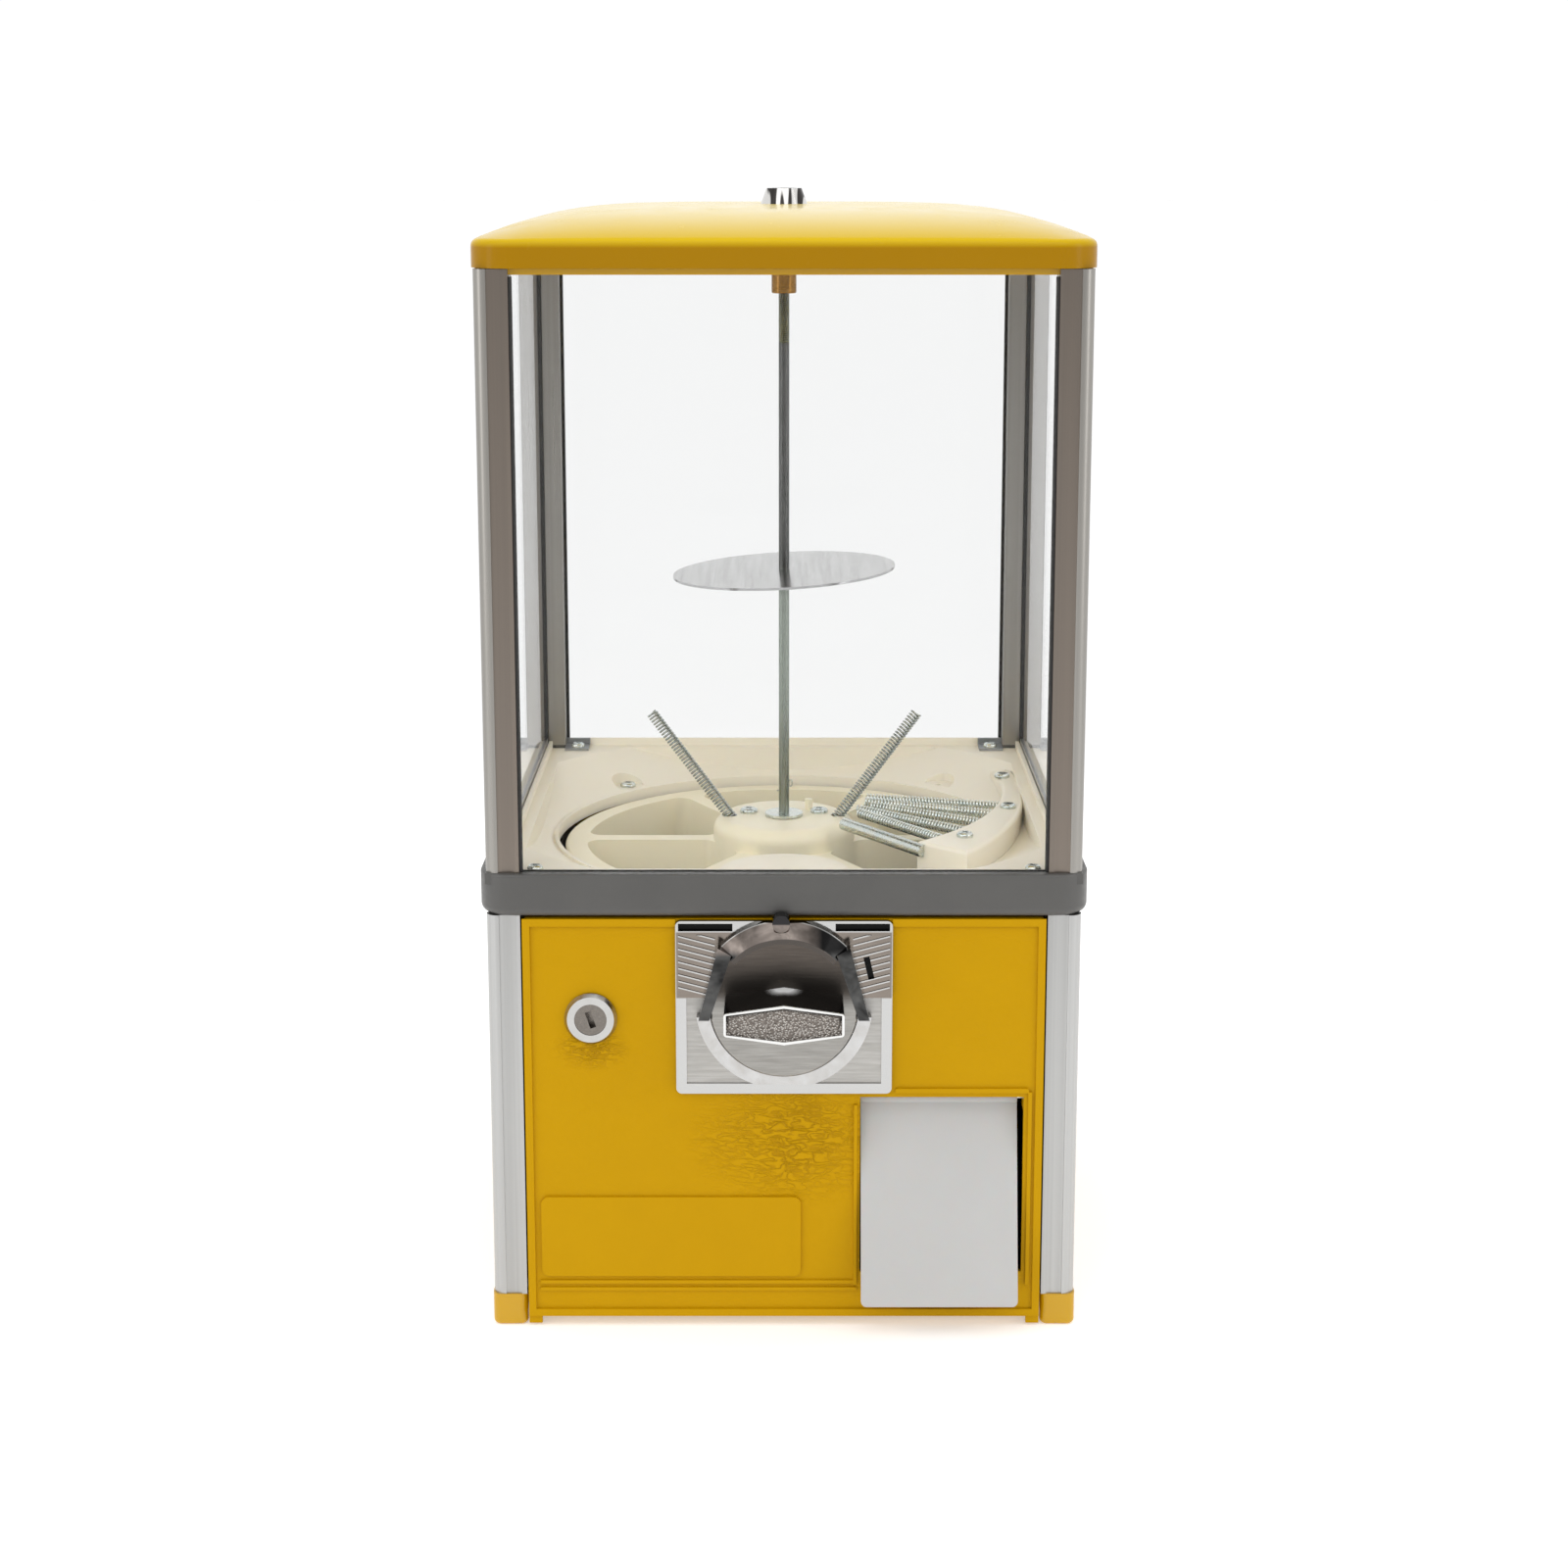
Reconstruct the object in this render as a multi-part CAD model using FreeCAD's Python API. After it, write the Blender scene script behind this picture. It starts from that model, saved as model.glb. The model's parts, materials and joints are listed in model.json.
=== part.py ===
import FreeCAD, Part
import math
import os

# Countertop capsule vending machine. Millimetres, +Z up, front faces -Y, floor at Z = 0.
# The origin is on the floor, under the centre rod and midway between the four feet.

V = FreeCAD.Vector
UP = V(0, 0, 1)
BACK = V(0, 1, 0)
RIGHT = V(1, 0, 0)
ORIGIN = V(0, 0, 0)

# ---- cabinet ----
BAND_HALF = 160.0            # the dark band is the widest part of the cabinet
BAND_Z = (230.0, 253.0)
BAND_CORNER_R = 17.0
FOOT_H = 18.0
POST_SIZE = 18.0
POST_MID = 147.5             # centre of a corner post, in X and in Y
POST_IN = POST_MID - POST_SIZE / 2
POST_OUT = POST_MID + POST_SIZE / 2
POST_CORNER_R = 6.0
POST_CHANNEL = (2.9, 11.1)   # across the face, from the post's inner side
POST_CHANNEL_DEPTH = 0.7
POST_HOLLOW = 12.0
UPPER_POST_TOP = 566.0
STAND_HOLE_R = 3.3
STAND_HOLE_DEPTH = 60.0
SHEET = 1.2                  # sheet steel
WINDOW_T = 3.0
WINDOW_MID = 152.0
BASE_Z = (18.0, 19.6)

# ---- product tray and vending wheel ----
TRAY_RIM_Z = 251.0
TRAY_HALF = 149.0
LIP_TOP = 255.5              # the tray's upstanding edge at the back and sides
LIP_T = 2.2
BEAD = (131.0, 133.2)        # the raised ring round the opening: its two radii
BEAD_TOP = 234.8
OPENING_R = 131.0
OPENING_Z = 233.0
WHEEL_R = 127.0
WHEEL_TOP = 230.0
WHEEL_BOTTOM = 200.6
HUB_R = 41.0
HUB_TOP = 243.5
POCKETS = 6
POCKET_WALL = 10.0
POCKET_OUT_R = 114.5
POCKET_CORNER_R = 8.0
FLOOR_Z = (198.4, 200.0)
ROD_R = 3.0
ROD_TOP = 569.0
COVER_Z = (230.6, 248.0)
SPRING_R = 3.5
GUARD_SPRING_R = 3.0
GUARD_BAR_R = 3.6
OUTLET_X = (40.0, 124.0)
OUTLET_Y = (-80.0, -4.0)

# ---- drive: the handle turns six times for one turn of the wheel ----
SHAFT_Z = 184.0
SHAFT_R = 5.0
RUNNING_FIT = 0.06
RING_TEETH = 60
PINION_TEETH = 10
RING_IN_R = 117.0
RING_R = 122.0
PINION_R = RING_R * PINION_TEETH / RING_TEETH
MESH_Z = SHAFT_Z + PINION_R
ADDENDUM = 2.4
DEDENDUM = 3.0
TOOTH_W = 4.8
TOOTH_TIP_W = 2.2
PINION_Y = (-128.0, -117.5)

# ---- front panel ----
PANEL_HALF = 137.5
PANEL_Z = (6.0, 228.5)
PANEL_Y = -157.0             # front face
PANEL_T = 3.0
PANEL_FLANGE = 12.0
RAISED = 1.4
MECH_HALF = 57.0
MECH_Z = (133.0, 228.0)
MECH_T = 3.0
MECH_RIM = 5.6
WING_RIBS = 10
WING_RIB_W = 0.7
WING_RIB_TILT = 15.0
COIN_SLOT_DEPTH = 1.2
KNOB_R = 38.7
KNOB_Y = (-168.0, -161.0)
HOOD_R = 45.5                # the hood over the knob narrows from this to its lip
HOOD_LIP_R = 37.5
HOOD_IN_R = 35.0
HOOD_REACH = 11.5            # from the mechanism's face to the lip
GRIP_FRONT_Y = -198.0
DOOR_X = (40.5, 127.5)
DOOR_Z = (31.0, 130.0)
FLAP_X = (41.0, 124.6)
FLAP_PIN = V(0, -146.0, 126.5)
FLAP_PIN_R = 1.6
FLAP_T = 2.6
FLAP_LENGTH = 111.5
FLAP_LEAN = 14.0
LOCK_X = -102.0
LOCK_Z = 174.0

# ---- lid ----
LID_HALF = 158.6
LID_Z = 566.3
LID_RIM_TOP = 580.0          # the rim is level all round and the pillow top rises from it
LID_CREST = 595.0
LID_T = 3.0
LID_CORNER_R = 20.0
LID_EDGE_R = 4.0
LID_FLATNESS = 5             # a larger power keeps more of the top level
LID_GRID = 8                 # spans from the middle of the top surface to its edge
NUT_Z = (545.5, 572.0)
LOCK_TOP = 603.0

# ---- sliding disc on the rod ----
DISC_R = 63.5
DISC_Z = 388.0
DISC_T = 1.4
DISC_LEAN = 3.0
BUSH_R = 5.5


def box(x, y, z):
    """A box from its two limits along each axis."""
    return Part.makeBox(x[1] - x[0], y[1] - y[0], z[1] - z[0], V(x[0], y[0], z[0]))


def rod_z(radius, z, x=0.0, y=0.0):
    return Part.makeCylinder(radius, z[1] - z[0], V(x, y, z[0]), UP)


def rod_y(radius, y, x=0.0, z=0.0):
    return Part.makeCylinder(radius, y[1] - y[0], V(x, y[0], z), BACK)


def rod_x(radius, x, y=0.0, z=0.0):
    return Part.makeCylinder(radius, x[1] - x[0], V(x[0], y, z), RIGHT)


def rod_between(radius, start, end):
    return Part.makeCylinder(radius, (end - start).Length, start, end - start)


def prism_z(points, z):
    wire = Part.makePolygon([V(x, y, z[0]) for x, y in points + points[:1]])
    return Part.Face(wire).extrude(V(0, 0, z[1] - z[0]))


def prism_y(points, y):
    """A prism along Y from an outline of (x, z) points."""
    wire = Part.makePolygon([V(x, y[0], z) for x, z in points + points[:1]])
    return Part.Face(wire).extrude(V(0, y[1] - y[0], 0))


def prism_x(points, x):
    """A prism along X from an outline of (y, z) points."""
    wire = Part.makePolygon([V(x[0], y, z) for y, z in points + points[:1]])
    return Part.Face(wire).extrude(V(x[1] - x[0], 0, 0))


def upright_edges(shape, axis=UP):
    return [e for e in shape.Edges if len(e.Vertexes) == 2
            and isinstance(e.Curve, Part.Line)
            and abs(abs(e.tangentAt(e.FirstParameter).dot(axis)) - 1) < 1e-6]


def rounded_square(half, radius, z):
    square = box((-half, half), (-half, half), z)
    return square.makeFillet(radius, upright_edges(square))


def rounded_plate_y(x, z, radius, y):
    """A plate facing Y with rounded corners."""
    plate = box(x, y, z)
    return plate.makeFillet(radius, upright_edges(plate, BACK))


def turned(shape, degrees, axis=UP, centre=ORIGIN):
    copy = shape.copy()
    copy.rotate(centre, axis, degrees)
    return copy


def joined(shapes):
    return shapes[0].multiFuse(shapes[1:]).removeSplitter()


def save(node, *solids):
    shape = solids[0] if len(solids) == 1 else Part.makeCompound(list(solids))
    if not shape.isValid() or not shape.Solids:
        raise ValueError(node + " is not a valid solid")
    shape.exportStep("parts/" + node + ".step")


# Corners in the order of their signs in X and Y.
CORNERS = {
    "front_left": (-1, -1),
    "front_right": (1, -1),
    "back_left": (-1, 1),
    "back_right": (1, 1),
}


def post_bar(sign_x, sign_y, z):
    """An extruded corner post: a rounded outer corner and a shallow channel in each outer face."""
    x = sorted((sign_x * POST_IN, sign_x * POST_OUT))
    y = sorted((sign_y * POST_IN, sign_y * POST_OUT))
    bar = box(x, y, z)
    outer = [e for e in upright_edges(bar)
             if e.CenterOfMass.x * sign_x > POST_MID and e.CenterOfMass.y * sign_y > POST_MID]
    bar = bar.makeFillet(POST_CORNER_R, outer)
    along = (POST_IN + POST_CHANNEL[0], POST_IN + POST_CHANNEL[1])
    across = (POST_OUT - POST_CHANNEL_DEPTH, POST_OUT + 1)
    for in_x, in_y in ((along, across), (across, along)):
        side_x = sorted((sign_x * in_x[0], sign_x * in_x[1]))
        side_y = sorted((sign_y * in_y[0], sign_y * in_y[1]))
        bar = bar.cut(box(side_x, side_y, z))
    return bar


def corner_posts():
    feet = []
    for name, (sx, sy) in CORNERS.items():
        centre = (sx * POST_MID, sy * POST_MID)
        foot_x = sorted((sx * (POST_IN - 0.3), sx * (POST_OUT + 0.5)))
        foot_y = sorted((sy * (POST_IN - 0.3), sy * (POST_OUT + 0.5)))
        foot = box(foot_x, foot_y, (0, FOOT_H))
        foot = foot.makeFillet(4.0, upright_edges(foot))
        floor_edges = [e for e in foot.Edges if e.CenterOfMass.z < 0.01]
        foot = foot.makeFillet(2.8, floor_edges)
        feet.append(foot.cut(rod_z(STAND_HOLE_R, (-1, FOOT_H + 1), *centre)))
        lower = post_bar(sx, sy, (FOOT_H, BAND_Z[0]))
        bore = rod_z(STAND_HOLE_R, (FOOT_H - 1, STAND_HOLE_DEPTH), *centre)
        save("lower_post_" + name, lower.cut(bore))
        upper = post_bar(sx, sy, (BAND_Z[1], UPPER_POST_TOP))
        hollow_x = (centre[0] - POST_HOLLOW / 2, centre[0] + POST_HOLLOW / 2)
        hollow_y = (centre[1] - POST_HOLLOW / 2, centre[1] + POST_HOLLOW / 2)
        save("upper_post_" + name, upper.cut(box(hollow_x, hollow_y, (BAND_Z[1] - 1, UPPER_POST_TOP + 1))))
    save("foot_caps", *feet)


def base_band():
    """The dark waist ring that ties the lower and upper posts and carries the tray."""
    ring = rounded_square(BAND_HALF, BAND_CORNER_R, BAND_Z)
    rims = [e for e in ring.Edges if e.CenterOfMass.z < BAND_Z[0] + 0.01]
    ring = ring.makeFillet(4.5, rims)
    tops = [e for e in ring.Edges if e.CenterOfMass.z > BAND_Z[1] - 0.01]
    ring = ring.makeFillet(1.5, tops)
    through = rounded_square(TRAY_HALF - 5.0, 6.0, (BAND_Z[0] - 1, BAND_Z[1] + 1))
    ledge_z = (TRAY_RIM_Z - 4.0, BAND_Z[1])
    ledge = rounded_square(TRAY_HALF, 2.0, (ledge_z[0], ledge_z[1] + 1))
    seats = [box(sorted((sx * POST_IN, sx * POST_OUT)), sorted((sy * POST_IN, sy * POST_OUT)), ledge_z)
             for sx, sy in CORNERS.values()]
    save("base_band", joined([ring.cut(through).cut(ledge)] + seats))


def lower_panels():
    z = (BASE_Z[0], BAND_Z[0])
    skin = (POST_OUT - 4.0, POST_OUT - 4.0 + SHEET)
    hem = (skin[0] - 12.0, skin[0])
    hem_z = (BASE_Z[1] + 1.0, BASE_Z[1] + 1.0 + SHEET)
    panel = box((-POST_IN, POST_IN), skin, z)
    panel = joined([panel, box((-POST_IN, POST_IN), hem, hem_z)])
    for name, angle in (("back", 0), ("left", 90), ("right", 270)):
        save(name + "_panel", turned(panel, angle))
    base = joined([box((-skin[0], skin[0]), (-POST_IN, POST_IN), BASE_Z),
                   box((-POST_IN, POST_IN), (-POST_IN, skin[0]), BASE_Z)])
    save("base_plate", base.cut(rod_z(ROD_R, (0, 30))))


def windows():
    z = (BAND_Z[1], UPPER_POST_TOP - 3.0)
    y = (WINDOW_MID - WINDOW_T / 2, WINDOW_MID + WINDOW_T / 2)
    pane = box((-POST_IN, POST_IN), y, z)
    for name, angle in (("back", 0), ("left", 90), ("front", 180), ("right", 270)):
        save("window_" + name, turned(pane, angle))


def top_frame():
    """A flat ring on the posts. It holds the panes and shows as small tabs at the corners."""
    z = (UPPER_POST_TOP - 3.0, UPPER_POST_TOP)
    outer = rounded_square(WINDOW_MID + WINDOW_T / 2, 4.0, z)
    inner = rounded_square(POST_IN - 2.0, 4.0, (z[0] - 1, z[1] + 1))
    ring = outer.cut(inner)
    for sx, sy in CORNERS.values():
        ring = ring.cut(box(sorted((sx * POST_IN, sx * 170.0)), sorted((sy * POST_IN, sy * 170.0)),
                            (z[0] - 1, z[1] + 1)))
    save("top_frame", *ring.Solids)


PAN_R = 172.0                # the pan's cone reaches the rim's height at this radius


def dish(half, opening_r, top, bottom):
    """A cone that opens upward from the round opening, cut off square at the rim."""
    rise = top - bottom
    cone = Part.makeCone(opening_r, PAN_R, rise, V(0, 0, bottom), UP)
    return cone.common(rounded_square(half, 12.0, (bottom - 1, top + 1)))


def pan_solid():
    return dish(TRAY_HALF - 5.5, OPENING_R + 3.0, TRAY_RIM_Z - 3.9, OPENING_Z - 5.0)


# Screw wells in the pan: X, Y and the height of the seat.
SCREW_WELLS = ((-97.0, 103.0, 235.0), (96.0, 103.0, 236.0), (-110.0, -102.0, 235.0))
WELL_R = 10.0


def cover_outline():
    """The crescent that carries the guard springs, as a face at Z = 0."""
    front_in, back_in = V(74, -73, 0), V(127, 93, 0)
    front_out, back_out = V(100, -97, 0), V(140.5, 93, 0)
    inner = Part.Arc(front_in, V(122, 2, 0), back_in).toShape()
    back = Part.LineSegment(back_in, back_out).toShape()
    outer = Part.Arc(back_out, V(138.2, 0, 0), front_out).toShape()
    front = Part.LineSegment(front_out, front_in).toShape()
    return Part.Face(Part.Wire([inner, back, outer, front]))


def cover_block():
    shape = cover_outline().extrude(V(0, 0, COVER_Z[1] - COVER_Z[0]))
    shape.translate(V(0, 0, COVER_Z[0]))
    return shape


def product_tray():
    """The moulded hopper floor: a rim with a lip, a pan sloping to the round opening, and screw wells."""
    rim = box((-TRAY_HALF, TRAY_HALF), (-TRAY_HALF, TRAY_HALF), (TRAY_RIM_Z - 4, LIP_TOP))
    lip_in = TRAY_HALF - LIP_T
    rim = rim.cut(box((-lip_in, lip_in), (-TRAY_HALF - 1, lip_in), (TRAY_RIM_Z, LIP_TOP + 1)))
    inner = dish(TRAY_HALF - 8.5, OPENING_R, TRAY_RIM_Z + 0.1, OPENING_Z - 1.0)
    opening = rod_z(OPENING_R, (200, BEAD_TOP + 1))
    bead = rod_z(BEAD[1], (OPENING_Z - 1.5, BEAD_TOP))
    tray = joined([rim, pan_solid()]).cut(inner).fuse(bead).cut(opening)
    for x, y, seat in SCREW_WELLS:
        well = rod_z(WELL_R, (seat, TRAY_RIM_Z + 1), x, y)
        tray = tray.cut(well)
        cup = rod_z(WELL_R + 1.8, (seat - 3.0, seat + 4.0), x, y).cut(well).cut(inner).cut(opening)
        tray = tray.fuse(cup)
        tray = tray.cut(rod_z(1.6, (200, seat + 1), x, y))
    for sx, sy in CORNERS.values():
        tray = tray.cut(box(sorted((sx * POST_IN, sx * 160)), sorted((sy * POST_IN, sy * 160)), (240, 260)))
    tray = tray.cut(cover_block())
    biggest = max(tray.Solids, key=lambda s: s.Volume)
    save("product_tray", biggest)


def wheel_shield():
    """A low round shield on the tray's front edge, over the place where the drive meets the wheel."""
    z = (231.2, 236.0)
    disc = rod_z(36.0, z, 0, -93.0).fuse(rod_z(20.0, (z[1], z[1] + 1.6), 0, -93.0))
    disc = disc.removeSplitter()
    tongue = box((-16.0, 16.0), (-139.0, -118.0), z)
    shield = joined([disc.common(box((-40, 40), (-131.5, -50), (220, 250))), tongue])
    shield = shield.cut(pan_solid().cut(rod_z(OPENING_R, (200, 260))))
    save("wheel_shield", max(shield.Solids, key=lambda s: s.Volume))


def wheel_floor():
    """The plate under the wheel. Its front notch is for the drive and its hole drops capsules."""
    plate = box((-POST_IN, POST_IN), (-POST_IN, POST_IN), FLOOR_Z)
    notch = box((-58.0, 58.0), (-140.0, -112.0), (190, 210))
    outlet = box(OUTLET_X, OUTLET_Y, (190, 210))
    outlet = outlet.makeFillet(8.0, upright_edges(outlet))
    plate = plate.cut(notch).cut(outlet).cut(rod_z(ROD_R, (190, 210)))
    front = box((-POST_IN - 1, POST_IN + 1), (-POST_IN - 1, -POST_IN + 2.0), (190, 210))
    save("wheel_floor", plate.cut(front))


def capsule_chute():
    """A sheet duct from the outlet down to the delivery opening."""
    x_out = (OUTLET_X[0] - SHEET, OUTLET_X[1] + SHEET)
    front = -139.0
    outer = [(OUTLET_Y[1] + SHEET, FLOOR_Z[0]), (OUTLET_Y[0] - SHEET, FLOOR_Z[0]),
             (OUTLET_Y[0] - SHEET, 137.0), (front, 131.0), (front, 29.0),
             (OUTLET_Y[1] + SHEET, 98.0)]
    inner = [(OUTLET_Y[1], FLOOR_Z[0] + 1), (OUTLET_Y[0], FLOOR_Z[0] + 1),
             (OUTLET_Y[0], 135.0), (front - 1, 129.0), (front - 1, 31.5),
             (OUTLET_Y[1], 100.5)]
    save("capsule_chute", prism_x(outer, x_out).cut(prism_x(inner, OUTLET_X)))


def cash_box():
    """An open-topped coin box under the coin mechanism."""
    x, y, z = (-72.0, 28.0), (-134.0, -24.0), (BASE_Z[1], 118.0)
    tub = box(x, y, z)
    tub = tub.makeFillet(5.0, upright_edges(tub))
    hollow = box((x[0] + SHEET, x[1] - SHEET), (y[0] + SHEET, y[1] - SHEET), (z[0] + SHEET, z[1] + 1))
    save("cash_box", tub.cut(hollow.makeFillet(3.5, upright_edges(hollow))))


def centre_rod():
    rod = rod_z(ROD_R, (BASE_Z[0] - 8.0, ROD_TOP))
    chamfered = [e for e in rod.Edges if abs(e.CenterOfMass.z - ROD_TOP) < 0.01]
    save("centre_rod", rod.makeChamfer(0.8, chamfered))
    save("rod_washer", rod_z(11.0, (HUB_TOP + 0.4, HUB_TOP + 1.8)).cut(rod_z(ROD_R, (0, ROD_TOP))))
    save("rod_base_nut", hex_nut(5.5, ROD_R, (BASE_Z[0] - 5.5, BASE_Z[0])))


def hex_nut(inradius, bore_r, z):
    outer_r = inradius / math.cos(math.radians(30))
    points = [(outer_r * math.cos(math.radians(60 * i)), outer_r * math.sin(math.radians(60 * i)))
              for i in range(6)]
    return prism_z(points, z).cut(rod_z(bore_r, (z[0] - 1, z[1] + 1)))


def pan_screw(x, y, seat_z, head_r=4.6, length=0.0):
    """A pan-head screw on a face at seat_z, with a cross recess."""
    head = rod_z(head_r, (seat_z, seat_z + 2.6), x, y)
    rim = [e for e in head.Edges if e.CenterOfMass.z > seat_z + 2.5]
    head = head.makeFillet(1.8, rim)
    for angle in (35, 125):
        blade = box((x - 2.4, x + 2.4), (y - 0.5, y + 0.5), (seat_z + 1.6, seat_z + 3.0))
        head = head.cut(turned(blade, angle, UP, V(x, y, 0)))
    if length:
        head = joined([head, rod_z(1.6, (seat_z - length, seat_z + 0.2), x, y)])
    return head


def corner_brackets():
    """Small clamps that hold the tray at the two back corners, each with a screw."""
    back = TRAY_HALF - LIP_T
    brackets, screws = [], []
    for sx in (-1, 1):
        x = sorted((sx * (POST_IN - 15.0), sx * POST_IN))
        foot = box(x, (POST_IN - 8.0, back), (TRAY_RIM_Z, TRAY_RIM_Z + 1.6))
        wall = box(x, (back - 2.0, back), (TRAY_RIM_Z, TRAY_RIM_Z + 5.0))
        brackets.append(joined([foot, wall]))
        screws.append(pan_screw(sx * (POST_IN - 8.0), POST_IN - 3.0, TRAY_RIM_Z + 1.6, 4.2))
        screws.append(pan_screw(sx * (POST_IN - 7.0), -TRAY_HALF + 7.0, TRAY_RIM_Z, 4.2))
    screws.append(pan_screw(*SCREW_WELLS[0], 4.8, 3.0))
    save("corner_brackets", *brackets)
    save("tray_screws", *screws)


COVER_SCREWS = ((133.0, 74.0), (130.5, 0.0), (101.0, -64.0))
# Each guard spring runs from near the hub out to the crescent: its inner and outer end in X and Y.
GUARD_SPRINGS = (
    ((48.0, 30.0), (130.5, 25.7)),
    ((47.0, 22.0), (126.0, 6.0)),
    ((50.0, 12.0), (118.0, -15.0)),
    ((43.0, 4.0), (106.5, -33.9)),
    ((43.0, -4.0), (94.5, -55.5)),
)
GUARD_SPRING_Z = (246.0, 242.0)   # at the inner and the outer end
GUARD_BAR_ENDS = (V(34.0, -31.0, 246.5), V(77.0, -77.0, 243.0))


def guard_springs():
    return [rod_between(GUARD_SPRING_R, V(*start, GUARD_SPRING_Z[0]), V(*end, GUARD_SPRING_Z[1]))
            for start, end in GUARD_SPRINGS]


def spring_cover():
    springs = guard_springs()
    bar = rod_between(GUARD_BAR_R, *GUARD_BAR_ENDS)
    shell = cover_block()
    shell = shell.makeFillet(2.5, [e for e in shell.Edges if e.CenterOfMass.z > COVER_Z[1] - 0.01])
    hollow = cover_outline().makeOffset2D(-3.0).extrude(V(0, 0, 40.0))
    hollow.translate(V(0, 0, COVER_Z[1] - 3.5 - 40.0))
    shell = shell.cut(hollow)
    for rod in springs + [bar]:
        shell = shell.cut(rod)
    save("spring_cover", max(shell.Solids, key=lambda s: s.Volume))
    save("guard_springs", *springs)
    save("guard_bar", bar)
    save("cover_screws", *[pan_screw(x, y, COVER_Z[1]) for x, y in COVER_SCREWS])


def pocket():
    """One wheel pocket, centred on the direction 30 degrees from X, as a cutting tool."""
    half_angle = 180.0 / POCKETS
    arc = rod_z(POCKET_OUT_R, (WHEEL_BOTTOM - 1, WHEEL_TOP + 1)).cut(rod_z(HUB_R, (0, 300)))
    slab_x = (0.0, POCKET_OUT_R + 5.0)
    z = (WHEEL_BOTTOM - 2, WHEEL_TOP + 2)
    low = box(slab_x, (-60.0, POCKET_WALL / 2), z)
    high = turned(box(slab_x, (-POCKET_WALL / 2, 60.0), z), 2 * half_angle)
    wedge = prism_z([(0, 0), (200, 0), (200, 200 * math.tan(math.radians(2 * half_angle)))],
                    (WHEEL_BOTTOM - 1, WHEEL_TOP + 1))
    tool = arc.common(wedge).cut(low).cut(high)
    return tool.makeFillet(POCKET_CORNER_R, upright_edges(tool))


AGITATOR_FEET = (28.0, 238.5)     # distance from the rod and height
AGITATOR_TIPS = (77.0, 305.0)


def agitator(sign):
    return rod_between(SPRING_R, V(sign * AGITATOR_FEET[0], 0, AGITATOR_FEET[1]),
                       V(sign * AGITATOR_TIPS[0], 0, AGITATOR_TIPS[1]))


def capsule_wheel():
    z_lower = MESH_Z + DEDENDUM + 1.6
    wheel = rod_z(WHEEL_R, (z_lower, WHEEL_TOP))
    top_rim = [e for e in wheel.Edges if e.CenterOfMass.z > WHEEL_TOP - 0.01]
    wheel = wheel.makeFillet(2.0, top_rim)
    wheel = wheel.fuse(rod_z(RING_IN_R, (WHEEL_BOTTOM, z_lower)))
    tool = pocket()
    for index in range(POCKETS):
        wheel = wheel.cut(turned(tool, index * 360.0 / POCKETS))
    hub = rod_z(HUB_R, (WHEEL_BOTTOM, HUB_TOP))
    hub = hub.makeFillet(8.0, [e for e in hub.Edges if e.CenterOfMass.z > HUB_TOP - 0.01])
    peg = rod_z(2.2, (HUB_TOP - 1, HUB_TOP + 6.0), 14.5, 14.5)
    wheel = joined([wheel, hub, peg])
    bore = rod_z(ROD_R + RUNNING_FIT, (WHEEL_BOTTOM - 1, HUB_TOP + 1))
    wheel = wheel.cut(bore).cut(agitator(-1)).cut(agitator(1))
    save("capsule_wheel", max(wheel.Solids, key=lambda s: s.Volume))
    save("agitator_springs", agitator(-1), agitator(1))
    save("hub_screws", *[pan_screw(x, 7.0, HUB_TOP, 5.2) for x in (-20.5, 20.5)])


def ring_gear():
    """A crown ring under the wheel's rim, with straight radial teeth that point down."""
    root = MESH_Z + DEDENDUM
    ring = rod_z(WHEEL_R, (root, root + 1.6)).cut(rod_z(RING_IN_R, (0, 300)))
    half, half_tip = TOOTH_W / 2 + 0.5, TOOTH_TIP_W / 2
    tip = MESH_Z - ADDENDUM
    outline = [(-half, root + 0.4), (half, root + 0.4), (half_tip, tip), (-half_tip, tip)]
    tooth = prism_y(outline, (-WHEEL_R + 0.6, -RING_IN_R - 0.6))
    pitch = 360.0 / RING_TEETH
    teeth = [turned(tooth, (index + 0.5) * pitch) for index in range(RING_TEETH)]
    save("ring_gear", joined([ring] + teeth))


def drive_pinion():
    tip, root = PINION_R + ADDENDUM, PINION_R - DEDENDUM
    core = rod_y(root, PINION_Y, 0, SHAFT_Z)
    half, half_tip = TOOTH_W / 2, TOOTH_TIP_W / 2
    outline = [(-half, SHAFT_Z + root - 2), (half, SHAFT_Z + root - 2),
               (half_tip, SHAFT_Z + tip), (-half_tip, SHAFT_Z + tip)]
    tooth = prism_y(outline, PINION_Y)
    axis_point = V(0, 0, SHAFT_Z)
    teeth = [turned(tooth, index * 360.0 / PINION_TEETH, BACK, axis_point) for index in range(PINION_TEETH)]
    gear = joined([core] + teeth)
    save("drive_pinion", gear.cut(rod_y(SHAFT_R, (-140, -100), 0, SHAFT_Z)))


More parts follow.
